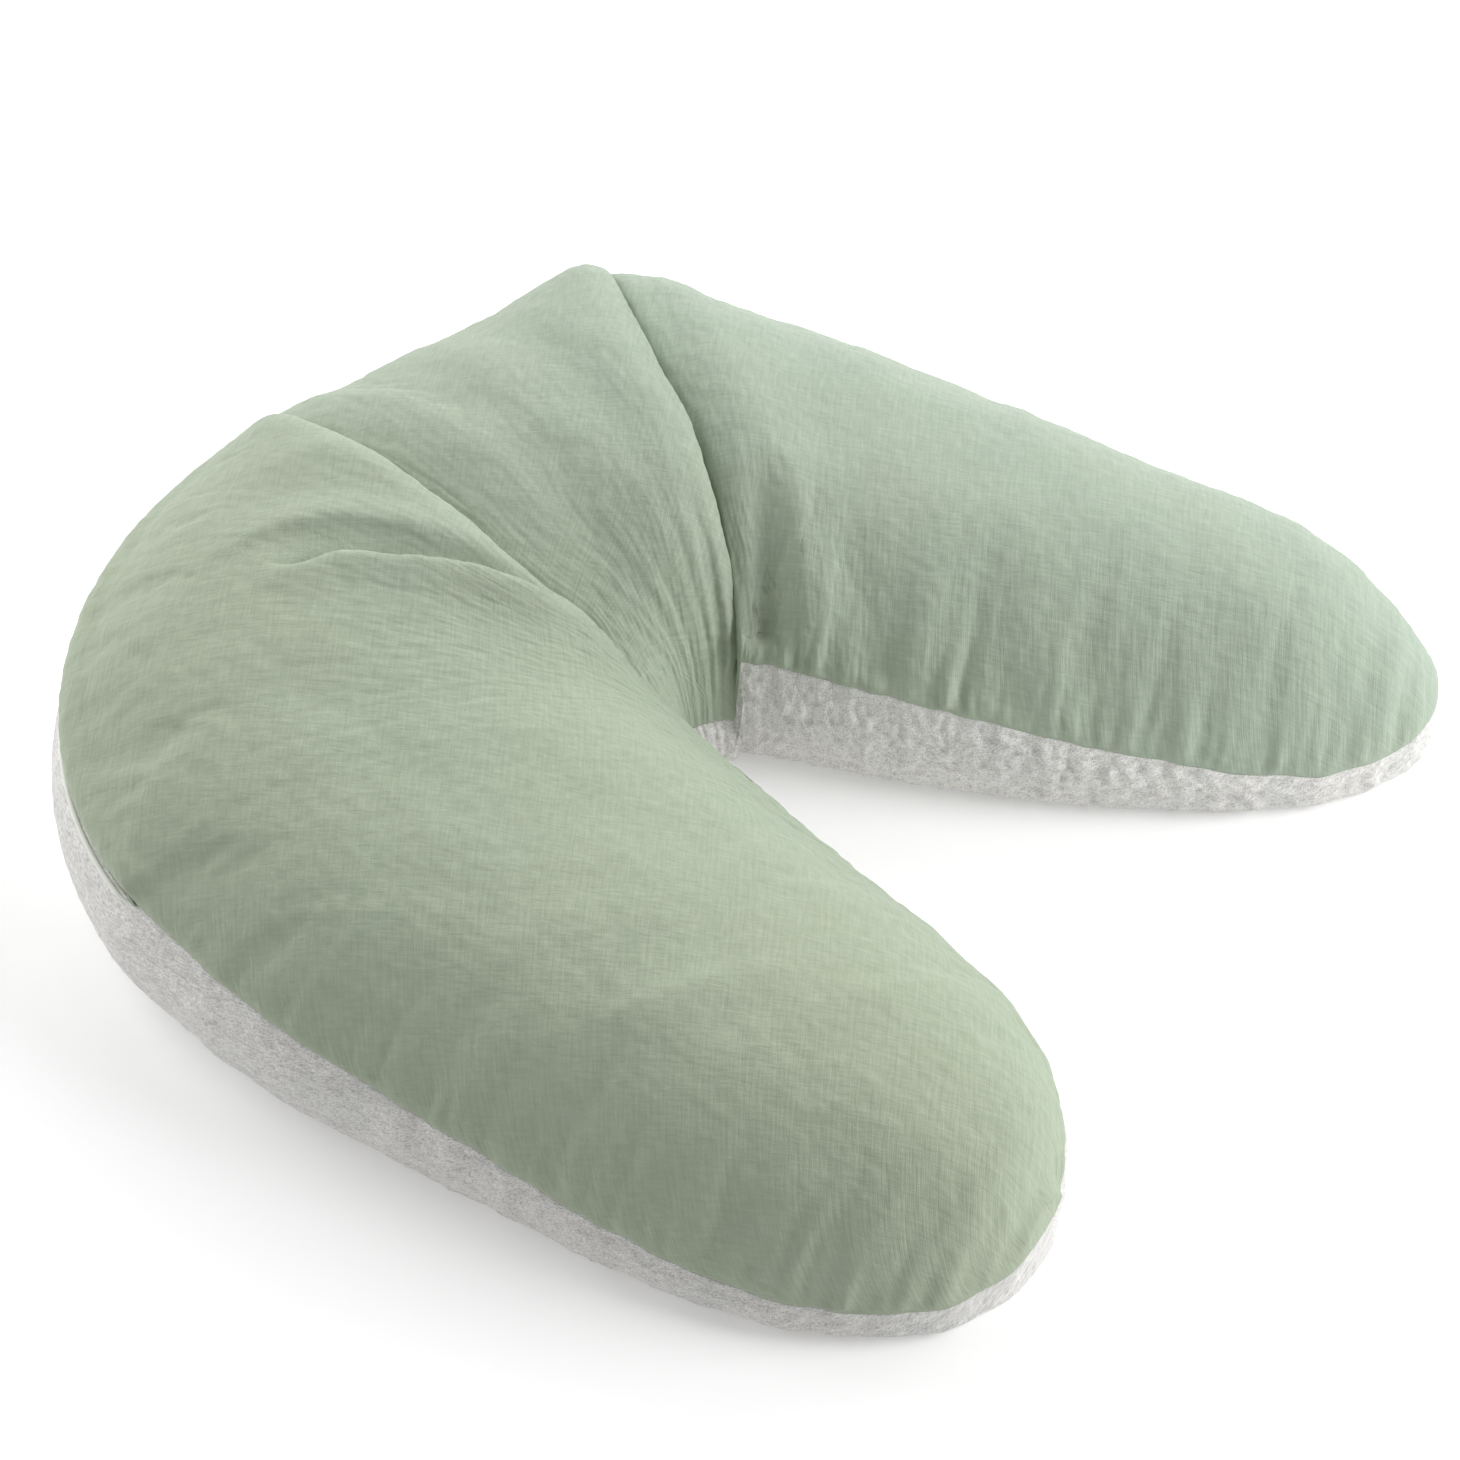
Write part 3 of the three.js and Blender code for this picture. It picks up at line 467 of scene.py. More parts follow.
def simulate():
    rt = crown_r(SIM_TOP)
    St = s_grid(SIM_CELLS, rt)
    Pt, dm, dl = crown(St, rt, SIM_CELLS, sharp=0.0, lift=False)
    q = under_q(SIM_WALL, 3)
    n = St.shape[0]
    # the lower side shares the columns of the rims
    blend_r = np.cos(np.pi * q / 11)
    Su = s_grid(SIM_CELLS, blend_r)
    Pu = under(Su, q)
    ring = np.concatenate([Pt, Pu[:, ::-1][:, 1:-1]], 1)
    m = ring.shape[1]
    body = ring[1:-1]
    verts = np.concatenate([body.reshape(-1, 3), ring[0, :1], ring[-1, :1]])
    nb = body.shape[0]
    tip0, tip1 = nb * m, nb * m + 1
    faces = []
    for i in range(nb - 1):
        for j in range(m):
            k = (j + 1) % m
            faces.append((i * m + j, (i + 1) * m + j, (i + 1) * m + k, i * m + k))
    for j in range(m):
        k = (j + 1) % m
        faces.append((tip0, j, k))
        faces.append((tip1, (nb - 1) * m + k, (nb - 1) * m + j))
    ob = new_mesh("cloth_work", verts, faces)
    import bmesh
    bm = bmesh.new()
    bm.from_mesh(ob.data)
    bmesh.ops.recalc_face_normals(bm, faces=bm.faces)
    if bm.calc_volume(signed=True) < 0:
        bmesh.ops.reverse_faces(bm, faces=bm.faces)
    bm.to_mesh(ob.data)
    bm.free()
    # held: seams, and what lies on the ground
    jt = SIM_TOP
    hold = np.zeros((nb, m))
    hold[:, 0] = 1
    hold[:, jt - 1] = 1
    low = body[..., 2] < 7
    hold[low] = 1
    pin = ob.vertex_groups.new(name="held")
    flat = np.concatenate([hold.ravel(), [1, 1]])
    pin.add([int(k) for k in np.nonzero(flat > 0.5)[0]], 1.0, "REPLACE")
    # more cloth near the seams than the seam is long
    full = ob.vertex_groups.new(name="fullness")
    sB = np.zeros((nb, m))
    th = np.linspace(0, 1, jt)
    near_o, near_i = np.exp(-((th / 0.20) ** 2)), np.exp(-(((1 - th) / 0.20) ** 2))
    ss = St[1:-1]
    amount_o = 0.55 + 0.45 * far_from_zip(ss) - 0.35 * (1 - far_from_zip(ss))
    limb = 0.45 + 0.55 * smooth(ss, 0.30, 0.45)
    sB[:, :jt] = np.clip(amount_o * near_o[None] + near_i[None] * limb + 0.12, 0, 1)
    sB[:, jt:] = 0.35
    w = np.concatenate([sB.ravel(), [0, 0]])
    for level in np.linspace(0.05, 1.0, 20):
        idx = np.nonzero(np.abs(w - level) <= 0.025)[0]
        if len(idx):
            full.add([int(k) for k in idx], float(level), "REPLACE")
    mod = ob.modifiers.new("Cloth", "CLOTH")
    c = mod.settings
    c.quality = 4
    c.mass = 0.25
    c.tension_stiffness = 12
    c.compression_stiffness = 12
    c.shear_stiffness = 4
    c.bending_stiffness = 0.08
    c.use_pressure = True
    c.uniform_pressure_force = 4.0
    c.vertex_group_mass = "held"
    c.pin_stiffness = 1.0
    c.shrink_min = 0.0
    c.shrink_max = -0.055
    c.vertex_group_shrink = "fullness"
    c.effector_weights.gravity = 0.0
    mod.collision_settings.use_self_collision = False
    mod.collision_settings.use_collision = False
    mod.point_cache.frame_start, mod.point_cache.frame_end = 1, 20
    sc = bpy.context.scene
    sc.frame_start, sc.frame_end = 1, 20
    for fr in range(1, 21):
        sc.frame_set(fr)
    dg = bpy.context.evaluated_depsgraph_get()
    ev = ob.evaluated_get(dg)
    co = np.zeros(len(ev.data.vertices) * 3, np.float32)
    ev.data.vertices.foreach_get("co", co)
    moved = co.reshape(-1, 3).astype(float) / MM - verts
    bpy.data.objects.remove(ob)
    sc.frame_set(1)
    D = np.zeros_like(ring)
    D[1:-1] = moved[:-2].reshape(nb, m, 3)
    L = np.linalg.norm(D, axis=-1, keepdims=True)
    cap = np.full(m, CAP_TOP)
    cap[jt:] = CAP_WALL
    cap = cap[None, :, None]
    D *= np.where(L > 1e-6, cap * np.tanh(L / cap) / np.maximum(L, 1e-6), 1)
    print("cloth: moved mean %.2f mm, most %.2f mm before the cap" % (L.mean(), L.max()))
    Dt = D[:, :jt]
    Du = np.concatenate([D[:, :1], D[:, jt:][:, ::-1], D[:, jt - 1:jt]], 1)
    return Dt, Du, q


Dt, Du, sim_q = simulate()

# ---------------------------------------------------------------------------
# cover, upper panel
CELLS = (420, 190, 400)
ROWS_TOP = 170
r_top = crown_r(ROWS_TOP)
S_top = s_grid(CELLS, r_top)
P_top, dist_main, dist_lap = crown(S_top, r_top, CELLS)
NCOL = S_top.shape[0]
if Dt is not None:
    D = upsample(Dt, NCOL, ROWS_TOP)
    quiet = 1 - 0.75 * np.exp(-((dist_main / 26) ** 2)) - 0.5 * np.exp(-((dist_lap / 22) ** 2))
    zipside = (1 - far_from_zip(S_top, 0.012)) * smooth(r_top, 0.93, 0.99)[None]
    _c = np.concatenate([np.zeros((NCOL, 1)), np.cumsum(np.linalg.norm(np.diff(P_top, axis=1), axis=-1), 1)], 1)
    rim_calm = (1 - np.exp(-((_c / 13) ** 2))) * (1 - np.exp(-(((_c[:, -1:] - _c) / 9) ** 2)))
    crotch = smooth(S_top, 0.40, 0.46) * (1 - smooth(S_top, 0.635, 0.65)) * smooth(-r_top, 0.1, 0.7)[None]
    D *= (np.clip(quiet, 0.2, 1) * (1 - zipside) * rim_calm * (1 - 0.6 * crotch))[..., None]
    P_top = P_top + D
nrm = normals_of(P_top)
if np.median(nrm[NCOL // 3: 2 * NCOL // 3, ROWS_TOP // 2, 2]) < 0:
    nrm = -nrm
wall_push = 0
for line, height, width in WALLS:
    dd, t = line_distance(P_top[..., :2], line)
    wall_push = wall_push + height * np.exp(-((dd / width) ** 2)) * (1 - smooth(t, 0.35, 1.0))
beside = 0.35 + 0.65 * smooth(S_top, 0.645, 0.652)
wall_push = wall_push * beside * smooth(1 - np.abs(r_top), 0.0, 0.02)[None] * smooth(S_top - fold_s(FOLD_MAIN, r_top)[None], 0.0, 0.012)
P_top = P_top + nrm * wall_push[..., None]
# the cloth rolls out a little over the opening
_d = np.concatenate([np.zeros((NCOL, 1)), np.cumsum(np.linalg.norm(np.diff(P_top, axis=1), axis=-1), 1)], 1)
_nO = rails(S_top[:, 0])[5]
roll = 3.0 * (zip_zone(S_top[:, :1]) * (_d / 7.0) * np.exp(1 - _d / 7.0))
P_top[..., :2] -= _nO[:, None, :] * roll[..., None]
M_top = P_top.copy()          # shape before the fine gathers, which the inner layers follow


def seam_lengths(S, r):
    """Returns nothing; the arc length along the outer and inner seam of each column, and the distance across from each
    seam, are worked out in gathers.
    """
    return


def gathers(P, r, S, strength_out, strength_in, seed):
    """Fine puckers that run up from the seams, growing wider and fainter away from them."""
    n, m = P.shape[:2]
    cum = np.concatenate([np.zeros((n, 1)), np.cumsum(np.linalg.norm(np.diff(P, axis=1), axis=-1), 1)], 1)
    across = cum[:, -1:]
    do, di = cum, across - cum
    lo = np.concatenate([[0], np.cumsum(np.linalg.norm(np.diff(P[:, 0], axis=0), axis=-1))])[:, None]
    li = np.concatenate([[0], np.cumsum(np.linalg.norm(np.diff(P[:, -1], axis=0), axis=-1))])[:, None]
    out = np.zeros((n, m))
    for dist, arc, st, sd in ((do, lo, strength_out, 0), (di, li, strength_in, 40)):
        wob = 2.2 * noise(arc / 30 + 0 * dist, dist / 34, seed + sd + 9)
        a = arc + wob + 0 * dist
        fine = noise(a / 6.4, dist / 60, seed + sd) * np.exp(-dist / 20) * (1 - np.exp(-dist / 3.0)) * 1.55
        mid = noise(a / 11.5, dist / 95, seed + sd + 1) * np.exp(-dist / 46) * (1 - np.exp(-dist / 7.0)) * 1.7
        wide = noise(a / 21, dist / 150, seed + sd + 2) * np.exp(-((dist / 105) ** 2)) * (1 - np.exp(-dist / 16.0)) * 1.5
        some = 0.65 + 0.5 * noise(arc / 55, 0 * arc + 2.0, seed + sd + 3)
        out += (fine + mid + wide) * st * some
    return out, do, di, lo, li


def strength(table, s):
    t = np.array(table, float)
    return hermite(t[:, 0], t[:, 1:], s)[..., 0]


st_out = strength([(0, 1.8), (0.06, 2.7), (0.16, 2.0), (0.28, 1.2), (0.345, 0.6), (0.36, 0.35), (0.54, 0.35), (0.56, 0.8), (0.65, 0.9), (0.8, 0.85), (0.95, 1.2), (1, 1.3)], S_top)
st_in = strength([(0, 1.4), (0.1, 1.0), (0.25, 0.8), (0.33, 0.55), (0.45, 0.25), (0.6, 0.25), (0.64, 0.4), (0.655, 1.4), (0.68, 2.7), (0.8, 3.0), (0.95, 2.5), (1, 1.5)], S_top)
G, do, di, lo, li = gathers(P_top, r_top, S_top, st_out, st_in, 60)
tips = smooth(S_top, 0, 0.012) * smooth(1 - S_top, 0, 0.012)
nrm = normals_of(M_top)
if np.median(nrm[NCOL // 3: 2 * NCOL // 3, ROWS_TOP // 2, 2]) < 0:
    nrm = -nrm
calm = np.clip(1 - 0.6 * np.exp(-((dist_main / 9) ** 2)) - 0.5 * np.exp(-((dist_lap / 8) ** 2)), 0, 1)
# double-gauze crinkle over the whole face
U_top = (np.cumsum(np.r_[0, np.linalg.norm(np.diff(P_top[:, ROWS_TOP // 2], axis=0), axis=-1)]))[:, None] + 0 * do
V_top = do - (do[:, ROWS_TOP // 2:ROWS_TOP // 2 + 1])
crinkle = 0.30 * noise(U_top / 4.2, V_top / 17, 71) + 0.26 * noise(U_top / 15, V_top / 4.4, 72) + 0.34 * noise(U_top / 10, V_top / 10, 73)
near_rim = (1 - np.exp(-do / 2.5)) * (1 - np.exp(-di / 2.5))
P_top = P_top + nrm * ((G * calm + crinkle) * tips * near_rim)[..., None]


def hem(P, S, side, up, zipdepth=True):
    """Rows of turned-in seam allowance beyond a rim row, following the seam."""
    O, I, T, _, _, nO, nI = rails(S)
    n = nO if side > 0 else nI
    w = np.linalg.norm(O[:, :2] - I[:, :2], axis=-1)
    k = smooth(S, 0.004, 0.03) * smooth(1 - S, 0.004, 0.03)
    if side < 0:
        k = k * (1 - smooth(S, 0.625, 0.636) * (1 - smooth(S, 0.652, 0.665)))
    k = k[:, None]
    rows = []
    for rho, dz in ((0.75, -0.22), (1.7, 0.6), (2.1, 2.4), (2.2, 5.5)):
        p = P.copy()
        p[:, :2] += n * rho * k
        p[:, 2] += dz * up * k[:, 0]
        rows.append(p)
    return rows


def with_hems(P, S, up):
    a = hem(P[:, 0], S[:, 0], 1, up)
    b = hem(P[:, -1], S[:, -1], -1, up)
    return np.concatenate([np.stack(a[::-1], 1), P, np.stack(b, 1)], 1)


def hem_uv(U, V):
    left = np.stack([V[:, 0] - d for d in (8.2, 5.0, 2.6, 0.9)], 1)
    right = np.stack([V[:, -1] + d for d in (0.9, 2.6, 5.0, 8.2)], 1)
    Vh = np.concatenate([left, V, right], 1)
    Uh = np.concatenate([np.repeat(U[:, :1], 4, 1), U, np.repeat(U[:, -1:], 4, 1)], 1)
    return np.stack([Uh, Vh], -1) * MM


# the panel is cut from one flat piece, so its threads keep one direction across the whole pillow
GRAIN = math.radians(25)


def grain(P, S, D, turn=GRAIN):
    O, I, _, _, _, _, _ = rails(S)
    m = P.shape[1] // 2
    across = O[..., :2] - I[..., :2]
    across /= np.maximum(np.linalg.norm(across, axis=-1, keepdims=True), 1e-6)
    c = P[:, m:m + 1, :2]
    plan = ((P[..., :2] - c) * across).sum(-1)
    arc = -(D - D[:, m:m + 1])
    flat = P[..., :2] + across * (arc - plan)[..., None]
    x, y = flat[..., 0], flat[..., 1]
    return x * math.cos(turn) + y * math.sin(turn), -x * math.sin(turn) + y * math.cos(turn)


GU, GV = grain(M_top, S_top, do)


def hem_grain(U, V):
    Uh = np.concatenate([np.repeat(U[:, :1], 4, 1), U, np.repeat(U[:, -1:], 4, 1)], 1)
    Vh = np.concatenate([V[:, :1] - np.array([8.2, 5.0, 2.6, 0.9]), V, V[:, -1:] + np.array([0.9, 2.6, 5.0, 8.2])], 1)
    return np.stack([Uh, Vh], -1) * MM


at_zip_top = 1 - far_from_zip(S_top, 0.004)
P_top[..., 2] = np.where((r_top > 0)[None] & (at_zip_top > 0.02), np.maximum(P_top[..., 2], ZIP_Z + ZIP_LIFT - 0.02 - (1 - at_zip_top) * 4), P_top[..., 2])
P_cover = with_hems(P_top, S_top, 1)
cover_top = grid_object("cover_top", P_cover, hem_grain(GU, GV), flip=False)

# ---------------------------------------------------------------------------
# cover, lower panel: the side walls and the face it lies on
WALL = 46
q_low = under_q(WALL, 9)
r_low = np.cos(np.pi * q_low / 11)
LOW_CELLS = (330, 150, 310)
S_low = s_grid(LOW_CELLS, r_low)
P_low = under(S_low, q_low)
n_low = S_low.shape[0]
if Du is not None:
    pos = np.interp(q_low, sim_q, np.linspace(0, 1, len(sim_q)))
    D = upsample(Du, n_low, len(q_low), pos)
    zl = (1 - far_from_zip(S_low, 0.012)) * smooth(-q_low, -0.9, -0.1)[None]
    D *= (1 - zl)[..., None]
    D[..., 2] = np.where(P_low[..., 2] < 8, 0, D[..., 2])
    P_low = P_low + D
M_low = P_low.copy()
cum = np.concatenate([np.zeros((n_low, 1)), np.cumsum(np.linalg.norm(np.diff(P_low, axis=1), axis=-1), 1)], 1)
do_l, di_l = cum, cum[:, -1:] - cum
lo_l = np.concatenate([[0], np.cumsum(np.linalg.norm(np.diff(P_low[:, 0], axis=0), axis=-1))])[:, None]
li_l = np.concatenate([[0], np.cumsum(np.linalg.norm(np.diff(P_low[:, -1], axis=0), axis=-1))])[:, None]
halfway = q_low[None] < 5.5
arc_l = np.where(halfway, lo_l, li_l)
dist_l = np.where(halfway, do_l, di_l)
# puckered knit: rounded pebbles between shallow creases
p1 = noise(arc_l / 8.5, dist_l / 7.5, 81)
p2 = noise(arc_l / 5.2 + 4, dist_l / 4.8, 82)
ridge = 1 - np.abs(noise(arc_l / 11, dist_l / 10, 83)) * 1.6
pucker = 1.25 * p1 + 0.8 * p2 + 1.0 * (np.clip(ridge, 0, 1) ** 2 - 0.4)
gath = noise(arc_l / 9, dist_l / 45, 84) * np.exp(-dist_l / 20) * (1 - np.exp(-dist_l / 3)) * 1.3
amount = (1 - np.exp(-dist_l / 3.5)) * smooth(P_low[..., 2], -2, 14)
quiet_wall = strength([(0, 1), (0.05, 0.9), (0.3, 0.5), (0.36, 0.38), (0.54, 0.45), (0.62, 0.9), (0.68, 1.1), (1, 1.05)], S_low)
nl = normals_of(M_low)
if np.median(nl[n_low // 3: 2 * n_low // 3, len(q_low) // 2, 2]) > 0:
    nl = -nl
tl = smooth(S_low, 0, 0.012) * smooth(1 - S_low, 0, 0.012)
P_low = P_low + nl * ((pucker * quiet_wall + gath * quiet_wall) * amount * tl)[..., None]
P_low[..., 2] = np.maximum(P_low[..., 2], 0.0)
# both lips keep clear of the slider's path
at_zip = 1 - far_from_zip(S_low, 0.004)
P_low[..., 2] = np.where(halfway & (at_zip > 0.02), np.minimum(P_low[..., 2], ZIP_Z - ZIP_LIFT + 0.02 + (1 - at_zip) * 4), P_low[..., 2])
U_low = (np.cumsum(np.r_[0, np.linalg.norm(np.diff(P_low[:, len(q_low) // 2], axis=0), axis=-1)]))[:, None] + 0 * do_l
V_low = do_l - do_l[:, len(q_low) // 2:len(q_low) // 2 + 1]
P_under = with_hems(P_low, S_low, -1)
cover_underside = grid_object("cover_underside", P_under, hem_uv(U_low, V_low), flip=True)

# ---------------------------------------------------------------------------
# inner casing and filling, nested inside the cover
def shell(P, n_out, S, rim_rows, off_rim, off_mid):
    w = smooth(rim_rows, 0, 0.35)
    off = off_rim * (1 - w)[None] + off_mid * w[None]
    t = smooth(S, 0, 0.03) * smooth(1 - S, 0, 0.03)
    return P - n_out * (off * (0.25 + 0.75 * t))[..., None]


def thin(P, S, rows, a, b):
    return P[::a, ::b], S[::a, ::b], rows[::b]


def smooth_grid(P, times):
    for _ in range(times):
        Q = P.copy()
        Q[1:-1] = (P[:-2] + 2 * P[1:-1] + P[2:]) / 4
        P = Q.copy()
        P[:, 1:-1] = (Q[:, :-2] + 2 * Q[:, 1:-1] + Q[:, 2:]) / 4
    return P


NT = smooth_grid(np.where(np.isfinite(nrm), nrm, 0), 6)[::4, ::3]
NL = smooth_grid(np.where(np.isfinite(nl), nl, 0), 4)[::3, ::2]
MT, ST, RT = smooth_grid(M_top, 3)[::4, ::3], S_top[::4, ::3], np.arange(ROWS_TOP)[::3] / (ROWS_TOP - 1)
ML, SL, RL = smooth_grid(M_low, 2)[::3, ::2], S_low[::3, ::2], np.arange(len(q_low))[::2] / (len(q_low) - 1)


def rim_share(rows):
    """0 on a rim, 1 in the middle of a panel."""
    return 1 - np.abs(1 - 2 * rows)


def layer(P, n, S, rows, off_rim, off_mid, reach):
    w = smooth(rim_share(rows), 0, reach)[None]
    off = off_rim * (1 - w) + off_mid * w
    t = smooth(S, 0, 0.03) * smooth(1 - S, 0, 0.03)
    return P - n * (off * (0.35 + 0.65 * t))[..., None]


def plain_uv(P, scale=1.0):
    u = np.cumsum(np.r_[0, np.linalg.norm(np.diff(P[:, P.shape[1] // 2], axis=0), axis=-1)])[:, None]
    v = np.concatenate([np.zeros((P.shape[0], 1)), np.cumsum(np.linalg.norm(np.diff(P, axis=1), axis=-1), 1)], 1)
    return np.stack([u + 0 * v, v - v[:, P.shape[1] // 2:P.shape[1] // 2 + 1]], -1) * MM


MID_L, MID_R = STATIONS[3], STATIONS[-4]


def tuck(P, S, r):
    """Draws an inner layer in from the cover where the main fold meets the inner seam, and at the tips."""
    O, I, T, _, _, _, _ = rails(S)
    c = np.concatenate([(O[..., :2] + I[..., :2]) / 2, (0.45 * T)[..., None]], -1)
    w = 0.22 * np.exp(-(((S - 0.6425) / 0.017) ** 2)) * smooth(-r, 0.2, 0.8)[None]
    P = P + (c - P) * w[..., None]
    for row, k in ((MID_L, 1 - smooth(S, 0.0, 0.024)), (MID_R, 1 - smooth(1 - S, 0.0, 0.024))):
        m = np.array([(row[0] + row[3]) / 2, (row[1] + row[4]) / 2, (row[2] + row[6]) / 2 - 4])
        P = P + (m - P) * (0.82 * k)[..., None]
    return P


nT = NT / np.maximum(np.linalg.norm(NT, axis=-1, keepdims=True), 1e-6)
nL = NL / np.maximum(np.linalg.norm(NL, axis=-1, keepdims=True), 1e-6)
C_top = layer(MT, nT, ST, RT, 9.6, 5.0, 0.4)
C_low = layer(ML, nL, SL, RL, 9.6, 5.0, 0.25)
C_low[..., 2] = np.maximum(C_low[..., 2], 4.2)
C_top, C_low = tuck(C_top, ST, np.cos(np.pi * RT)), tuck(C_low, SL, r_low[::2])
a = np.stack(np.meshgrid(np.arange(C_top.shape[0]), np.arange(C_top.shape[1]), indexing="ij"), -1)
wr = 0.8 * noise(a[..., 0] / 5.0, a[..., 1] / 9.0, 91) * smooth(rim_share(RT), 0.02, 0.2)[None]
C_top = C_top + nT * (wr - 0.4)[..., None]
casing_top = grid_object("inner_casing_top", C_top, plain_uv(C_top))
casing_low = grid_object("inner_casing_underside", C_low, plain_uv(C_low), flip=True)


def resample(P, n, m):
    return upsample(P, n, m)


def fill_body(name, s0, s1):
    """A closed mass of fill between two places along the pillow."""
    F_top = layer(MT, nT, ST, RT, 13.6, 9.4, 0.4)
    F_low = layer(ML, nL, SL, RL, 13.6, 9.4, 0.25)
    F_low[..., 2] = np.maximum(F_low[..., 2], 8.4)
    F_top, F_low = tuck(F_top, ST, np.cos(np.pi * RT)), tuck(F_low, SL, r_low[::2])
    n = 150
    at = np.linspace(s0, s1, n)

    def take(F, S, m):
        out = np.zeros((n, F.shape[1], 3))
        for j in range(F.shape[1]):
            for c in range(3):
                out[:, j, c] = np.interp(at, S[:, j], F[:, j, c])
        return upsample(out, n, m)

    A, B = take(F_top, ST, 44), take(F_low, SL, 34)
    B[:, 0], B[:, -1] = A[:, 0], A[:, -1]
    ring = np.concatenate([A, B[:, ::-1][:, 1:-1]], 1)
    x, y, z = ring[..., 0], ring[..., 1], ring[..., 2]
    c = ring.mean(1, keepdims=True)
    ring = c + (ring - c) * (1 + 0.012 * (noise(x / 26 + z / 31, y / 26 - z / 29, 95) - 0.6))[..., None]
    m = ring.shape[1]
    verts = np.concatenate([ring.reshape(-1, 3), ring[0].mean(0)[None], ring[-1].mean(0)[None]])
    faces = []
    for i in range(n - 1):
        for j in range(m):
            k = (j + 1) % m
            faces.append((i * m + j, (i + 1) * m + j, (i + 1) * m + k, i * m + k))
    for j in range(m):
        k = (j + 1) % m
        faces.append((n * m, j, k))
        faces.append((n * m + 1, (n - 1) * m + k, (n - 1) * m + j))
    ob = new_mesh(name, verts, faces)
    import bmesh
    bm = bmesh.new()
    bm.from_mesh(ob.data)
    bmesh.ops.recalc_face_normals(bm, faces=bm.faces)
    bm.to_mesh(ob.data)
    bm.free()
    ob.data.polygons.foreach_set("use_smooth", np.ones(len(ob.data.polygons), bool))
    return ob


fill_left = fill_body("fill_left_arm_mass", 0.004, TT[13] - 0.0006)
fill_rest = fill_body("fill_bend_and_right_arm_mass", TT[13] + 0.0006, 0.996)

# ---------------------------------------------------------------------------
# zip: nylon coils as wound teeth, and the stitched ends of the opening
def on_arc(angle, rho, dz):
    return np.stack([ZIP_C[0] + (ZIP_R - rho) * np.cos(angle), ZIP_C[1] + (ZIP_R - rho) * np.sin(angle), ZIP_Z + dz + 0 * angle], -1)


def tube(points, radius, sides=6, closed_ends=True):
    P = np.asarray(points, float)
    t = np.gradient(P, axis=0)
    t /= np.maximum(np.linalg.norm(t, axis=1, keepdims=True), 1e-9)
    ref = np.where(np.abs(t[:, 2:3]) < 0.9, np.array([[0, 0, 1.0]]), np.array([[1.0, 0, 0]]))
    a = np.cross(t, ref)
    a /= np.maximum(np.linalg.norm(a, axis=1, keepdims=True), 1e-9)
    b = np.cross(t, a)
    th = np.arange(sides) * 2 * np.pi / sides
    rad = np.broadcast_to(np.asarray(radius, float), (len(P),))
    ring = P[:, None] + rad[:, None, None] * (a[:, None] * np.cos(th)[None, :, None] + b[:, None] * np.sin(th)[None, :, None])
    verts = ring.reshape(-1, 3)
    faces = []
    n = len(P)
    for i in range(n - 1):
        for j in range(sides):
            k = (j + 1) % sides
            faces.append((i * sides + j, i * sides + k, (i + 1) * sides + k, (i + 1) * sides + j))
    faces.append(tuple(range(sides))[::-1])
    faces.append(tuple((n - 1) * sides + j for j in range(sides)))
    return verts, faces


def joined(name, parts):
    V, F, off = [], [], 0
    for v, f in parts:
        V.append(v)
        F += [tuple(i + off for i in face) for face in f]
        off += len(v)
    return new_mesh(name, np.concatenate(V), F)


def span_of(node):
    """angle range of a node along the zip arc, from the CAD part itself"""
    co = np.array([v.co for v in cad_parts[node].data.vertices], float) / MM
    ang = np.arctan2(co[:, 1] - ZIP_C[1], co[:, 0] - ZIP_C[0])
    return ang.min(), ang.max()


def coil(name, node, side):
    a0, a1 = span_of(node)
    pitch = 1.55
    turns = int((a1 - a0) * ZIP_R / pitch)
    per = 10
    n = turns * per + 1
    ph = np.linspace(0, turns * 2 * np.pi, n)
    ang = np.linspace(a0 + 0.0008, a1 - 0.0008, n)
    rho = 2.7 + 0.88 * np.cos(ph)
    dz = side * (1.3 + 0.42 * np.sin(ph))
    v, f = tube(on_arc(ang, rho, dz), 0.27, 6)
    core = on_arc(np.linspace(a0 + 0.001, a1 - 0.001, 160), 2.9, side * 1.3)
    v2, f2 = tube(core, 0.34, 6)
    return joined(name, [(v, f), (v2, f2)])


coil_up = coil("zip_coil_teeth_upper", "zip_coil_upper", 1)
coil_low = coil("zip_coil_teeth_lower", "zip_coil_lower", -1)


def bartack(name, angle, turn):
    """Dense stitches across the end of the opening."""
    parts = []
    for k in range(19):
        a = angle + turn * (0.6 + 0.42 * k) / ZIP_R
        reach = 3.3 - 2.3 * (k / 18) ** 1.4
        h = np.linspace(-1, 1, 9)
        rho = -0.45 - 0.35 * (1 - h**2) + 0.12 * np.sin(k * 2.1)
        p = on_arc(np.full(9, a) + 0.0004 * h, rho, h * reach)
        parts.append(tube(p, 0.26, 6))
    return joined(name, parts)


def lip_binding(name, a0, a1):
    """The pale folded edge of the lower panel along the opening."""
    n = 260
    ang = np.linspace(a0, a1, n)
    t = np.linspace(0, 1, n)
    taper = np.minimum(smooth(t, 0, 0.03), smooth(1 - t, 0, 0.03))
    P = on_arc(ang, -2.5 + 2.0 * (1 - taper), -4.95 - 0.1 * noise(ang * 40, 0 * ang, 33))
    P[:, :2] += 0.12 * noise(ang * 60, 0 * ang + 4, 34)[:, None]
    return joined(name, [tube(P, 0.35 + 1.25 * taper, 12)])


binding = lip_binding("zip_lip_binding", math.radians(60.6), math.radians(157.5))
tack_back = bartack("zip_bartack_back", math.radians(60) , -1)
tack_front = bartack("zip_bartack_front", math.radians(156.6), 1)


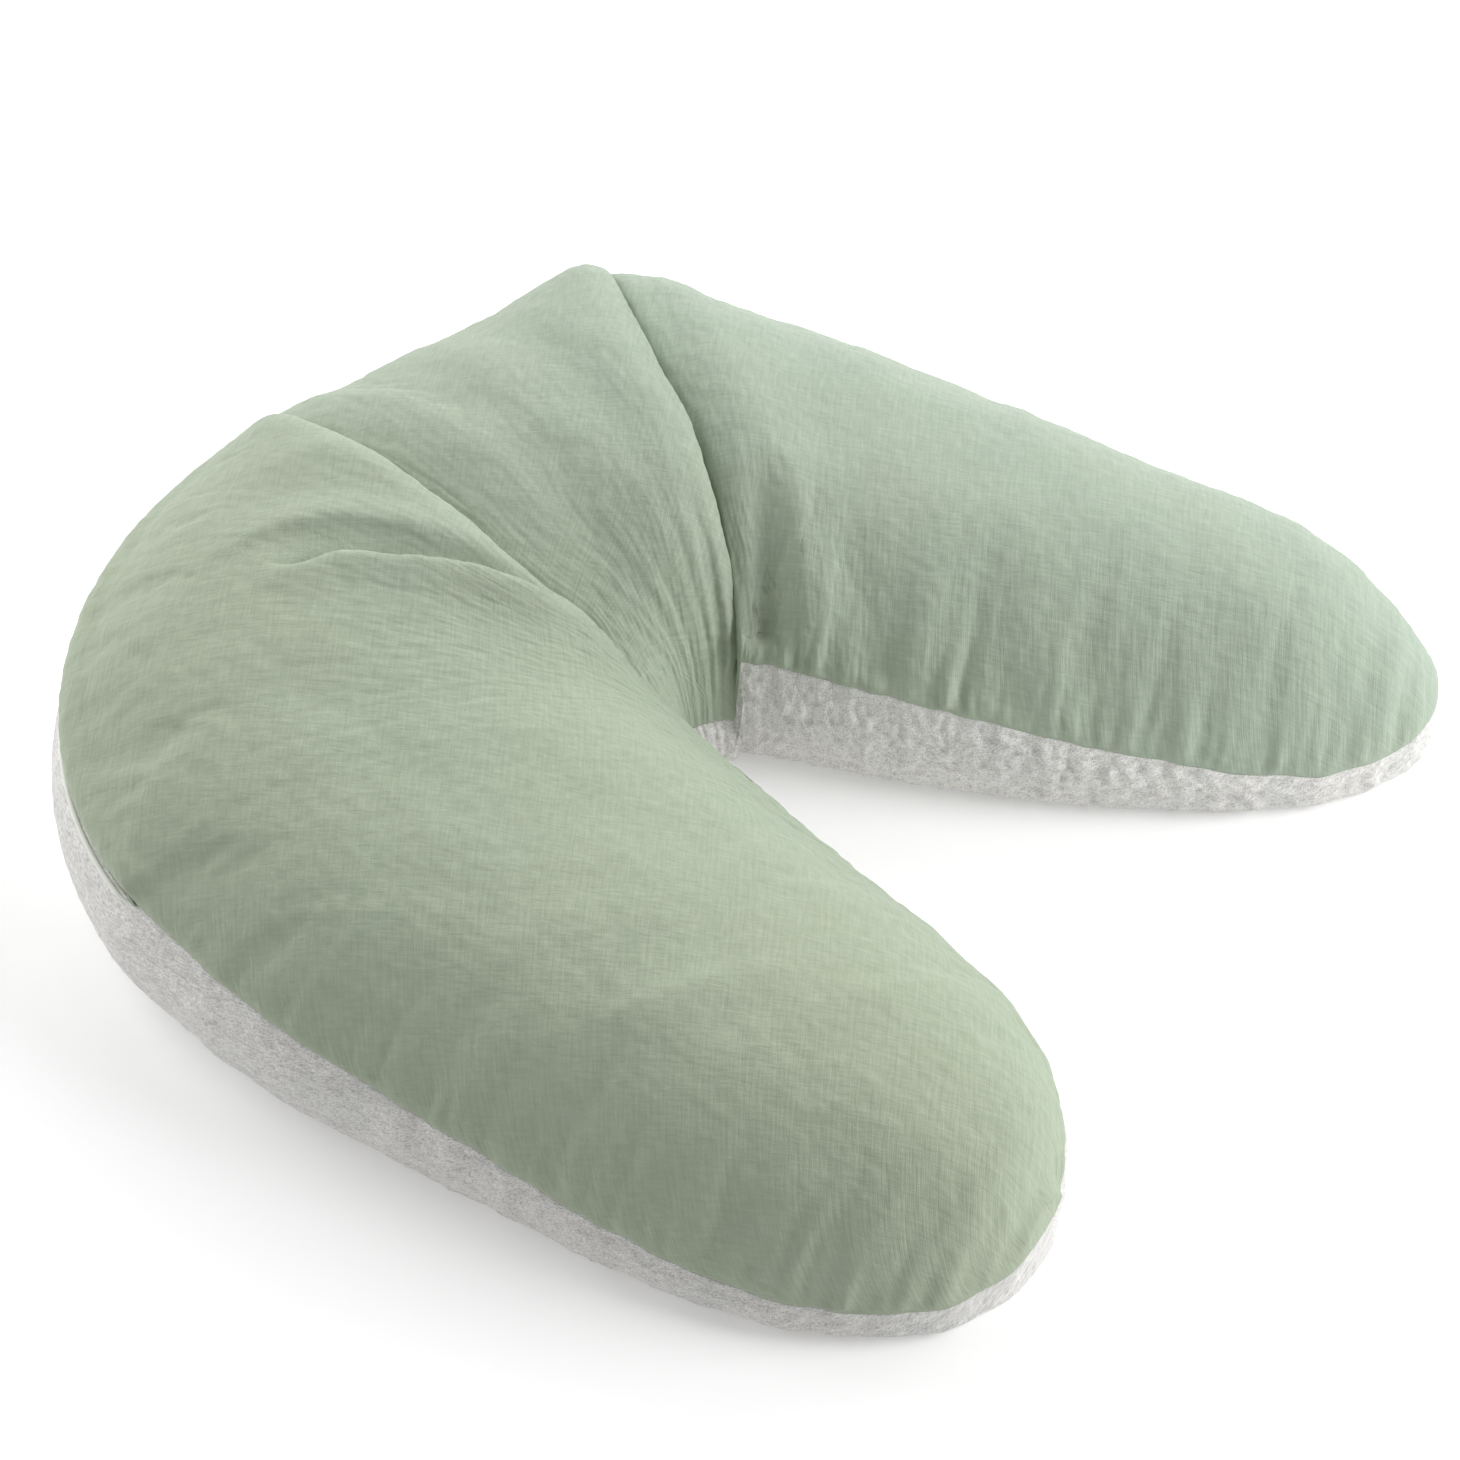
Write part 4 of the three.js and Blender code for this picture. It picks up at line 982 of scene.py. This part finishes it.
# ---------------------------------------------------------------------------
# materials
def lin(r, g, b):
    f = lambda c: (c / 255 / 12.92) if c / 255 <= 0.04045 else ((c / 255 + 0.055) / 1.055) ** 2.4
    return (f(r), f(g), f(b), 1.0)


class Mat:
    """A small builder for node materials."""

    def __init__(self, name):
        self.m = bpy.data.materials.new(name)
        self.m.use_nodes = True
        self.t = self.m.node_tree
        self.b = self.t.nodes["Principled BSDF"]

    def n(self, kind, **kw):
        node = self.t.nodes.new("ShaderNode" + kind)
        for k, v in kw.items():
            if hasattr(node, k) and k not in node.inputs:
                setattr(node, k, v)
            else:
                node.inputs[k].default_value = v
        return node

    def link(self, a, b):
        self.t.links.new(a, b)

    def math(self, op, a, b=None, c=None, clamp=False):
        node = self.t.nodes.new("ShaderNodeMath")
        node.operation = op
        node.use_clamp = clamp
        for k, v in enumerate((a, b, c)):
            if v is None:
                continue
            if isinstance(v, (int, float)):
                node.inputs[k].default_value = v
            else:
                self.link(v, node.inputs[k])
        return node.outputs[0]

    def mix(self, fac, a, b, blend="MIX"):
        node = self.t.nodes.new("ShaderNodeMix")
        node.data_type = "RGBA"
        node.blend_type = blend
        for k, v in (("Factor", fac), ("A", a), ("B", b)):
            s = [i for i in node.inputs if i.name == k and (i.type == ("VALUE" if k == "Factor" else "RGBA"))][0]
            if isinstance(v, (int, float, tuple)):
                s.default_value = v
            else:
                self.link(v, s)
        return [o for o in node.outputs if o.type == "RGBA"][0]

    def ramp(self, fac, stops):
        node = self.t.nodes.new("ShaderNodeValToRGB")
        e = node.color_ramp.elements
        while len(e) < len(stops):
            e.new(0.5)
        for k, (p, c) in enumerate(stops):
            e[k].position = p
            e[k].color = c if isinstance(c, tuple) else (c, c, c, 1)
        self.link(fac, node.inputs[0])
        return node.outputs[0]

    def coords(self, kind="Object", uv="cloth", scale=(1, 1, 1)):
        if kind == "UV":
            src = self.n("UVMap")
            src.uv_map = uv
            out = src.outputs[0]
        else:
            out = self.n("TexCoord").outputs[kind]
        mp = self.n("Mapping")
        mp.inputs["Scale"].default_value = scale
        self.link(out, mp.inputs["Vector"])
        return mp.outputs[0]

    def tex(self, vec, scale=5.0, detail=2.0, rough=0.5, distort=0.0):
        node = self.n("TexNoise")
        node.inputs["Scale"].default_value = scale
        node.inputs["Detail"].default_value = detail
        node.inputs["Roughness"].default_value = rough
        node.inputs["Distortion"].default_value = distort
        self.link(vec, node.inputs["Vector"])
        return node.outputs["Fac"]

    def wave(self, vec, scale, axis="X", distort=0.0, detail=1.0, dscale=1.0, profile="SIN"):
        node = self.n("TexWave")
        node.wave_type = "BANDS"
        node.bands_direction = axis
        node.wave_profile = profile
        node.inputs["Scale"].default_value = scale
        node.inputs["Distortion"].default_value = distort
        node.inputs["Detail"].default_value = detail
        node.inputs["Detail Scale"].default_value = dscale
        self.link(vec, node.inputs["Vector"])
        return node.outputs["Fac"]

    def voronoi(self, vec, scale, feature="F1"):
        node = self.n("TexVoronoi")
        node.feature = feature
        node.inputs["Scale"].default_value = scale
        self.link(vec, node.inputs["Vector"])
        return node.outputs["Distance"]

    def bump(self, height, strength, distance, normal=None):
        node = self.n("Bump")
        node.inputs["Strength"].default_value = strength
        node.inputs["Distance"].default_value = distance
        self.link(height, node.inputs["Height"])
        if normal is not None:
            self.link(normal, node.inputs["Normal"])
        return node.outputs[0]

    def set(self, **kw):
        for k, v in kw.items():
            s = self.b.inputs[k.replace("_", " ")]
            if isinstance(v, (int, float, tuple)):
                s.default_value = v
            else:
                self.link(v, s)


def period(mm):
    """wave texture scale for a period in millimetres, on coordinates in metres"""
    return 2 * math.pi / (20 * mm * MM)


def muslin(name, deep, mid, light):
    """Double gauze: open cross weave with a fine crinkle."""
    M = Mat(name)
    uv = M.coords("UV")
    obj = M.coords("Object")
    warp = M.wave(uv, period(1.15), "X", 1.4, 2.0, 60.0)
    weft = M.wave(uv, period(1.25), "Y", 1.4, 2.0, 60.0)
    weave = M.math("MULTIPLY", warp, weft)
    lengthwise = M.tex(M.coords("UV", scale=(48, 470, 1)), 1.0, 2.0, 0.55)
    crosswise = M.tex(M.coords("UV", scale=(420, 85, 1)), 1.0, 2.0, 0.55)
    cross = M.math("ADD", M.math("MULTIPLY", lengthwise, 1.15), M.math("MULTIPLY", crosswise, 0.85))
    slub = M.tex(M.coords("UV", scale=(35, 900, 1)), 1.0, 2.0, 0.6)
    slub2 = M.tex(M.coords("UV", scale=(900, 35, 1)), 1.0, 2.0, 0.6)
    patch = M.tex(obj, 5.5, 3.0, 0.55)
    patch2 = M.tex(obj, 2.2, 2.0, 0.5)
    fine = M.tex(obj, 900.0, 2.0, 0.7)
    # the crinkle's own random tone, and painted shade: the same noise is the crinkle's bump, so its dips are coloured
    # darker and its crests lighter
    tone = M.ramp(M.math("ADD", M.math("MULTIPLY", cross, 0.5), M.math("MULTIPLY", M.math("ADD", slub, slub2), 0.0)), [(0.38, deep), (0.5, mid), (0.62, light)])
    threads = M.ramp(M.math("MULTIPLY", M.math("ADD", slub, slub2), 0.5), [(0.40, (0.97, 0.974, 0.968, 1)), (0.5, (1, 1, 1, 1)), (0.62, (1.022, 1.02, 1.018, 1))])
    c = M.mix(1.0, tone, threads, "MULTIPLY")
    # painted shade: darker where the weave dips between the threads
    c = M.mix(1.0, c, M.ramp(weave, [(0.0, (0.965, 0.968, 0.965, 1)), (0.55, (1, 1, 1, 1))]), "MULTIPLY")
    c = M.mix(1.0, c, M.ramp(patch, [(0.35, (0.988, 1.0, 1.0, 1)), (0.65, (1.01, 1.0, 0.985, 1))]), "MULTIPLY")
    # the dye is a little cooler towards the right arm
    sp = M.n("SeparateXYZ")
    M.link(obj, sp.inputs[0])
    shade = M.math("ADD", M.math("MULTIPLY", sp.outputs[0], 1.6), M.math("MULTIPLY", patch2, 0.5))
    c = M.mix(1.0, c, M.ramp(shade, [(0.0, (1.0, 0.995, 0.94, 1)), (0.75, (0.97, 0.995, 1.01, 1))]), "MULTIPLY")
    M.set(Base_Color=c, Roughness=0.92, Specular_IOR_Level=0.18, Sheen_Weight=0.22, Sheen_Roughness=0.45)
    M.b.inputs["Sheen Tint"].default_value = (0.93, 0.96, 0.92, 1)
    b1 = M.bump(weave, 0.35, 0.00018)
    b2 = M.bump(cross, 0.5, 0.0010, b1)
    b3 = M.bump(fine, 0.15, 0.0002, b2)
    M.link(b3, M.b.inputs["Normal"])
    return M.m


def jersey(name):
    """Melange knit with small puckers: light grey with darker fibres."""
    M = Mat(name)
    uv = M.coords("UV")
    obj = M.coords("Object")
    ribs = M.wave(uv, period(1.3), "X", 1.2, 1.0, 80.0)
    rows = M.wave(uv, period(1.0), "Y", 1.6, 1.0, 80.0)
    knit = M.math("MULTIPLY", ribs, rows)
    fleck = M.tex(M.coords("UV", scale=(640, 980, 1)), 1.0, 3.0, 0.65)
    fleck2 = M.tex(M.coords("UV", scale=(185, 270, 1)), 1.0, 3.0, 0.6)
    fleck3 = M.tex(M.coords("UV", scale=(60, 90, 1)), 1.0, 2.0, 0.5)
    cloud = M.tex(obj, 18.0, 3.0, 0.55)
    pebble = M.voronoi(M.coords("UV", scale=(1, 1, 1)), 135.0, "SMOOTH_F1")
    c = M.ramp(fleck, [(0.34, lin(190, 189, 187)), (0.46, lin(222, 221, 218)), (0.6, lin(243, 242, 239))])
    c = M.mix(1.0, c, M.ramp(fleck2, [(0.36, (0.86, 0.855, 0.85, 1)), (0.52, (1, 1, 1, 1)), (0.66, (1.05, 1.05, 1.045, 1))]), "MULTIPLY")
    c = M.mix(1.0, c, M.ramp(fleck3, [(0.36, (0.95, 0.95, 0.95, 1)), (0.6, (1.03, 1.03, 1.03, 1))]), "MULTIPLY")
    c = M.mix(1.0, c, M.ramp(cloud, [(0.35, (0.975, 0.98, 0.985, 1)), (0.65, (1.02, 1.015, 1.01, 1))]), "MULTIPLY")
    c = M.mix(1.0, c, M.ramp(knit, [(0.0, (0.92, 0.92, 0.92, 1)), (0.5, (1, 1, 1, 1))]), "MULTIPLY")
    M.set(Base_Color=c, Roughness=0.95, Specular_IOR_Level=0.15, Sheen_Weight=0.2, Sheen_Roughness=0.5)
    b1 = M.bump(knit, 0.4, 0.00025)
    b2 = M.bump(fleck2, 0.6, 0.0010, b1)
    b3 = M.bump(pebble, 0.45, 0.0012, b2)
    M.link(b3, M.b.inputs["Normal"])
    return M.m


def calico(name):
    M = Mat(name)
    uv = M.coords("UV")
    warp = M.wave(uv, period(0.8), "X", 0.8, 1.0, 60.0)
    weft = M.wave(uv, period(0.8), "Y", 0.8, 1.0, 60.0)
    weave = M.math("MULTIPLY", warp, weft)
    seed = M.ramp(M.tex(uv, 420.0, 2.0, 0.6), [(0.66, (1, 1, 1, 1)), (0.74, (0.78, 0.72, 0.60, 1))])
    tone = M.ramp(M.tex(M.coords("Object"), 9.0, 3.0, 0.55), [(0.35, lin(228, 221, 204)), (0.65, lin(240, 235, 222))])
    c = M.mix(1.0, tone, seed, "MULTIPLY")
    c = M.mix(1.0, c, M.ramp(weave, [(0.0, (0.9, 0.9, 0.89, 1)), (0.5, (1, 1, 1, 1))]), "MULTIPLY")
    M.set(Base_Color=c, Roughness=0.9, Specular_IOR_Level=0.2)
    M.link(M.bump(weave, 0.5, 0.0002, M.bump(M.tex(M.coords("Object"), 60.0, 3.0, 0.5), 0.3, 0.001)), M.b.inputs["Normal"])
    return M.m


def beads(name):
    M = Mat(name)
    obj = M.coords("Object")
    cell = M.voronoi(obj, 320.0)
    # painted shade: each bead pale in its middle and darker towards its edge, where the beads meet
    c = M.ramp(cell, [(0.0, lin(248, 247, 242)), (0.55, lin(236, 234, 227)), (0.9, lin(190, 187, 178))])
    M.set(Base_Color=c, Roughness=0.6, Specular_IOR_Level=0.3)
    M.link(M.bump(M.math("SUBTRACT", 1.0, cell), 0.8, 0.0012), M.b.inputs["Normal"])
    return M.m


def arc_coord(M):
    """distance along the zip arc, as the x of a vector, from the object's own coordinates"""
    o = M.n("TexCoord").outputs["Object"]
    sp = M.n("SeparateXYZ")
    M.link(o, sp.inputs[0])
    x = M.math("SUBTRACT", sp.outputs[0], float(ZIP_C[0] * MM))
    y = M.math("SUBTRACT", sp.outputs[1], float(ZIP_C[1] * MM))
    ang = M.math("ARCTAN2", y, x)
    cb = M.n("CombineXYZ")
    M.link(M.math("MULTIPLY", ang, ZIP_R * MM), cb.inputs[0])
    M.link(sp.outputs[2], cb.inputs[1])
    return cb.outputs[0]


def tape(name):
    M = Mat(name)
    v = arc_coord(M)
    ribs = M.wave(v, period(0.75), "X", 0.6, 1.0, 40.0)
    herr = M.wave(v, period(1.1), "DIAGONAL", 0.5, 1.0, 40.0)
    h = M.math("ADD", M.math("MULTIPLY", ribs, 0.6), M.math("MULTIPLY", herr, 0.4))
    c = M.ramp(h, [(0.15, lin(178, 190, 168)), (0.6, lin(206, 214, 196)), (0.9, lin(219, 225, 210))])
    c = M.mix(1.0, c, M.ramp(M.tex(M.coords("Object"), 60.0, 2.0), [(0.35, (0.96, 0.96, 0.96, 1)), (0.65, (1.03, 1.03, 1.03, 1))]), "MULTIPLY")
    M.set(Base_Color=c, Roughness=0.85, Specular_IOR_Level=0.25)
    M.link(M.bump(h, 0.5, 0.0002), M.b.inputs["Normal"])
    return M.m


def nylon(name):
    M = Mat(name)
    g = M.tex(M.coords("Object"), 300.0, 2.0)
    c = M.ramp(g, [(0.35, lin(224, 226, 212)), (0.65, lin(240, 240, 230))])
    M.set(Base_Color=c, Roughness=0.38, Specular_IOR_Level=0.5, Coat_Weight=0.15, Coat_Roughness=0.3)
    M.link(M.bump(g, 0.15, 0.0001), M.b.inputs["Normal"])
    return M.m


def metal(name):
    M = Mat(name)
    o = M.coords("Object", scale=(1, 1, 1))
    brushed = M.tex(M.coords("Object", scale=(60, 60, 900)), 1.0, 3.0, 0.6)
    spots = M.tex(o, 260.0, 3.0, 0.6)
    c = M.ramp(spots, [(0.35, lin(150, 150, 148)), (0.6, lin(186, 186, 183))])
    r = M.ramp(brushed, [(0.3, 0.24), (0.7, 0.42)])
    M.set(Base_Color=c, Metallic=1.0, Roughness=r)
    M.link(M.bump(brushed, 0.12, 0.0001, M.bump(spots, 0.08, 0.0002)), M.b.inputs["Normal"])
    return M.m


def label_cloth(name):
    M = Mat(name)
    v = arc_coord(M)
    w = M.math("MULTIPLY", M.wave(v, period(0.5), "X", 0.3), M.wave(v, period(0.6), "Y", 0.3))
    c = M.ramp(w, [(0.0, lin(226, 225, 220)), (0.6, lin(243, 242, 238))])
    M.set(Base_Color=c, Roughness=0.55, Specular_IOR_Level=0.4, Sheen_Weight=0.1)
    M.link(M.bump(w, 0.4, 0.0001), M.b.inputs["Normal"])
    return M.m


def binding_cloth(name):
    M = Mat(name)
    v = arc_coord(M)
    w = M.wave(v, period(0.7), "DIAGONAL", 0.4, 1.0, 40.0)
    c = M.ramp(w, [(0.1, lin(222, 226, 214)), (0.7, lin(243, 245, 238))])
    M.set(Base_Color=c, Roughness=0.7, Specular_IOR_Level=0.3, Sheen_Weight=0.2)
    M.link(M.bump(w, 0.4, 0.00015), M.b.inputs["Normal"])
    return M.m


def thread(name):
    M = Mat(name)
    g = M.wave(M.coords("Object"), period(0.5), "DIAGONAL", 0.4)
    c = M.ramp(g, [(0.1, lin(150, 165, 145)), (0.8, lin(186, 198, 180))])
    M.set(Base_Color=c, Roughness=0.7, Specular_IOR_Level=0.3)
    M.link(M.bump(g, 0.5, 0.0001), M.b.inputs["Normal"])
    return M.m


SAGE = muslin("sage_double_gauze", lin(164, 176, 159), lin(169, 180, 164), lin(174, 185, 169))
GREY = jersey("grey_melange_knit")
CALICO = calico("calico")
BEADS = beads("bead_fill")
TAPE, NYLON, METAL = tape("zip_tape_weave"), nylon("zip_nylon"), metal("zip_metal")
LABEL, THREAD = label_cloth("label_satin"), thread("sewing_thread")
BINDING = binding_cloth("zip_lip_cloth")


def give(ob, mat):
    ob.data.materials.clear()
    ob.data.materials.append(mat)


for ob, mat in ((cover_top, SAGE), (cover_underside, GREY), (casing_top, CALICO), (casing_low, CALICO), (fill_left, BEADS), (fill_rest, BEADS),
                (coil_up, NYLON), (coil_low, NYLON), (binding, BINDING), (tack_back, THREAD), (tack_front, THREAD)):
    give(ob, mat)
for node, mat in (("zip_tape_upper", TAPE), ("zip_tape_lower", TAPE), ("zip_stop_back", METAL), ("zip_stop_front", METAL),
                  ("zip_slider", METAL), ("zip_pull_tab", METAL), ("care_label", LABEL)):
    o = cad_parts[node]
    for k in range(len(o.material_slots)):
        o.material_slots[k].material = mat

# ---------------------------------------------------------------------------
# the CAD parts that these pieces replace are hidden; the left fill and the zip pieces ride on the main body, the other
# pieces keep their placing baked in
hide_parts("cover_top_panel_main", "cover_top_panel_right_arm")
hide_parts("cover_underside_panel_main", "cover_underside_panel_right_arm")
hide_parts("inner_casing_top_main", "inner_casing_top_right_arm")
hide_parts("inner_casing_underside_main", "inner_casing_underside_right_arm")
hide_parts("fill_left_arm")
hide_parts("fill_bend", "fill_right_arm")
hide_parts("zip_coil_upper")
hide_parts("zip_coil_lower")

for ob in (cover_top, cover_underside, casing_top, casing_low, fill_rest):
    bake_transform(ob)
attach(fill_left, "main")
for ob in (coil_up, coil_low, binding, tack_back, tack_front):
    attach(ob, "main")


def area_of(ob):
    return sum(p.area for p in ob.data.polygons)


areas = {o.name: round(area_of(o), 4) for o in (cover_top, cover_underside, casing_top, casing_low)}
print("areas", areas)

# ---------------------------------------------------------------------------
# studio: white floor, soft light from above and behind, camera
floor_me = bpy.data.meshes.new("floor")
floor_me.from_pydata([(-6, -6, 0), (6, -6, 0), (6, 6, 0), (-6, 6, 0)], [], [(0, 1, 2, 3)])
floor = bpy.data.objects.new("floor", floor_me)
floor.location.z = -0.0004
bpy.context.scene.collection.objects.link(floor)
fm = bpy.data.materials.new("floor")
fm.use_nodes = True
fb = fm.node_tree.nodes["Principled BSDF"]
fb.inputs["Base Color"].default_value = (0.93, 0.93, 0.93, 1)
fb.inputs["Roughness"].default_value = 0.9
fb.inputs["Specular IOR Level"].default_value = 0.0
fb.inputs["Emission Color"].default_value = (1, 1, 1, 1)
fb.inputs["Emission Strength"].default_value = 0.198
floor_me.materials.append(fm)

scene = bpy.context.scene
world = bpy.data.worlds.new("studio")
scene.world = world
world.use_nodes = True
bg = world.node_tree.nodes["Background"]
bg.inputs["Color"].default_value = (1, 1, 1, 1)
bg.inputs["Strength"].default_value = 0.21


def area_light(name, loc, target, size, power, color=(1, 1, 1)):
    d = bpy.data.lights.new(name, "AREA")
    d.shape = "DISK"
    d.size = size
    d.energy = power
    d.color = color
    o = bpy.data.objects.new(name, d)
    bpy.context.scene.collection.objects.link(o)
    o.location = loc
    o.rotation_mode = "QUATERNION"
    o.rotation_quaternion = (Vector(target) - Vector(loc)).to_track_quat("-Z", "Y")
    return o


def around(name, azimuth, elevation, power, size=1.6, reach=2.6):
    a, e = math.radians(azimuth), math.radians(elevation)
    area_light(name, (reach * math.cos(e) * math.cos(a), reach * math.cos(e) * math.sin(a), reach * math.sin(e)), (0, 0, 0.05), size, power)


around("key_right", -70, 30, 44.3)
around("right_high", -70, 60, 3.4)
around("right_behind", -30, 30, 15.8)
around("behind", 10, 30, 12.8)
around("behind_left", 50, 30, 15.2)
around("left_behind", 90, 30, 26.3)
around("left_high", 110, 60, 7.0)
around("left", 130, 30, 8.0)

cam_data = bpy.data.cameras.new("camera")
cam = bpy.data.objects.new("camera", cam_data)
scene.collection.objects.link(cam)
cam_data.sensor_width = 36
cam_data.sensor_height = 36
cam_data.lens = 4094 / 1460 * 36
cam.location = (-1.459, -0.897, 1.837)
cam.rotation_mode = "QUATERNION"
cam.rotation_quaternion = (Vector((0.0648, 0.0112, 0.0)) - cam.location).to_track_quat("-Z", "Y")
cam_data.clip_start, cam_data.clip_end = 0.05, 50
scene.camera = cam
scene.view_settings.view_transform = "Standard"
scene.view_settings.look = "None"
scene.view_settings.exposure = 0.0
scene.view_settings.gamma = 1.0
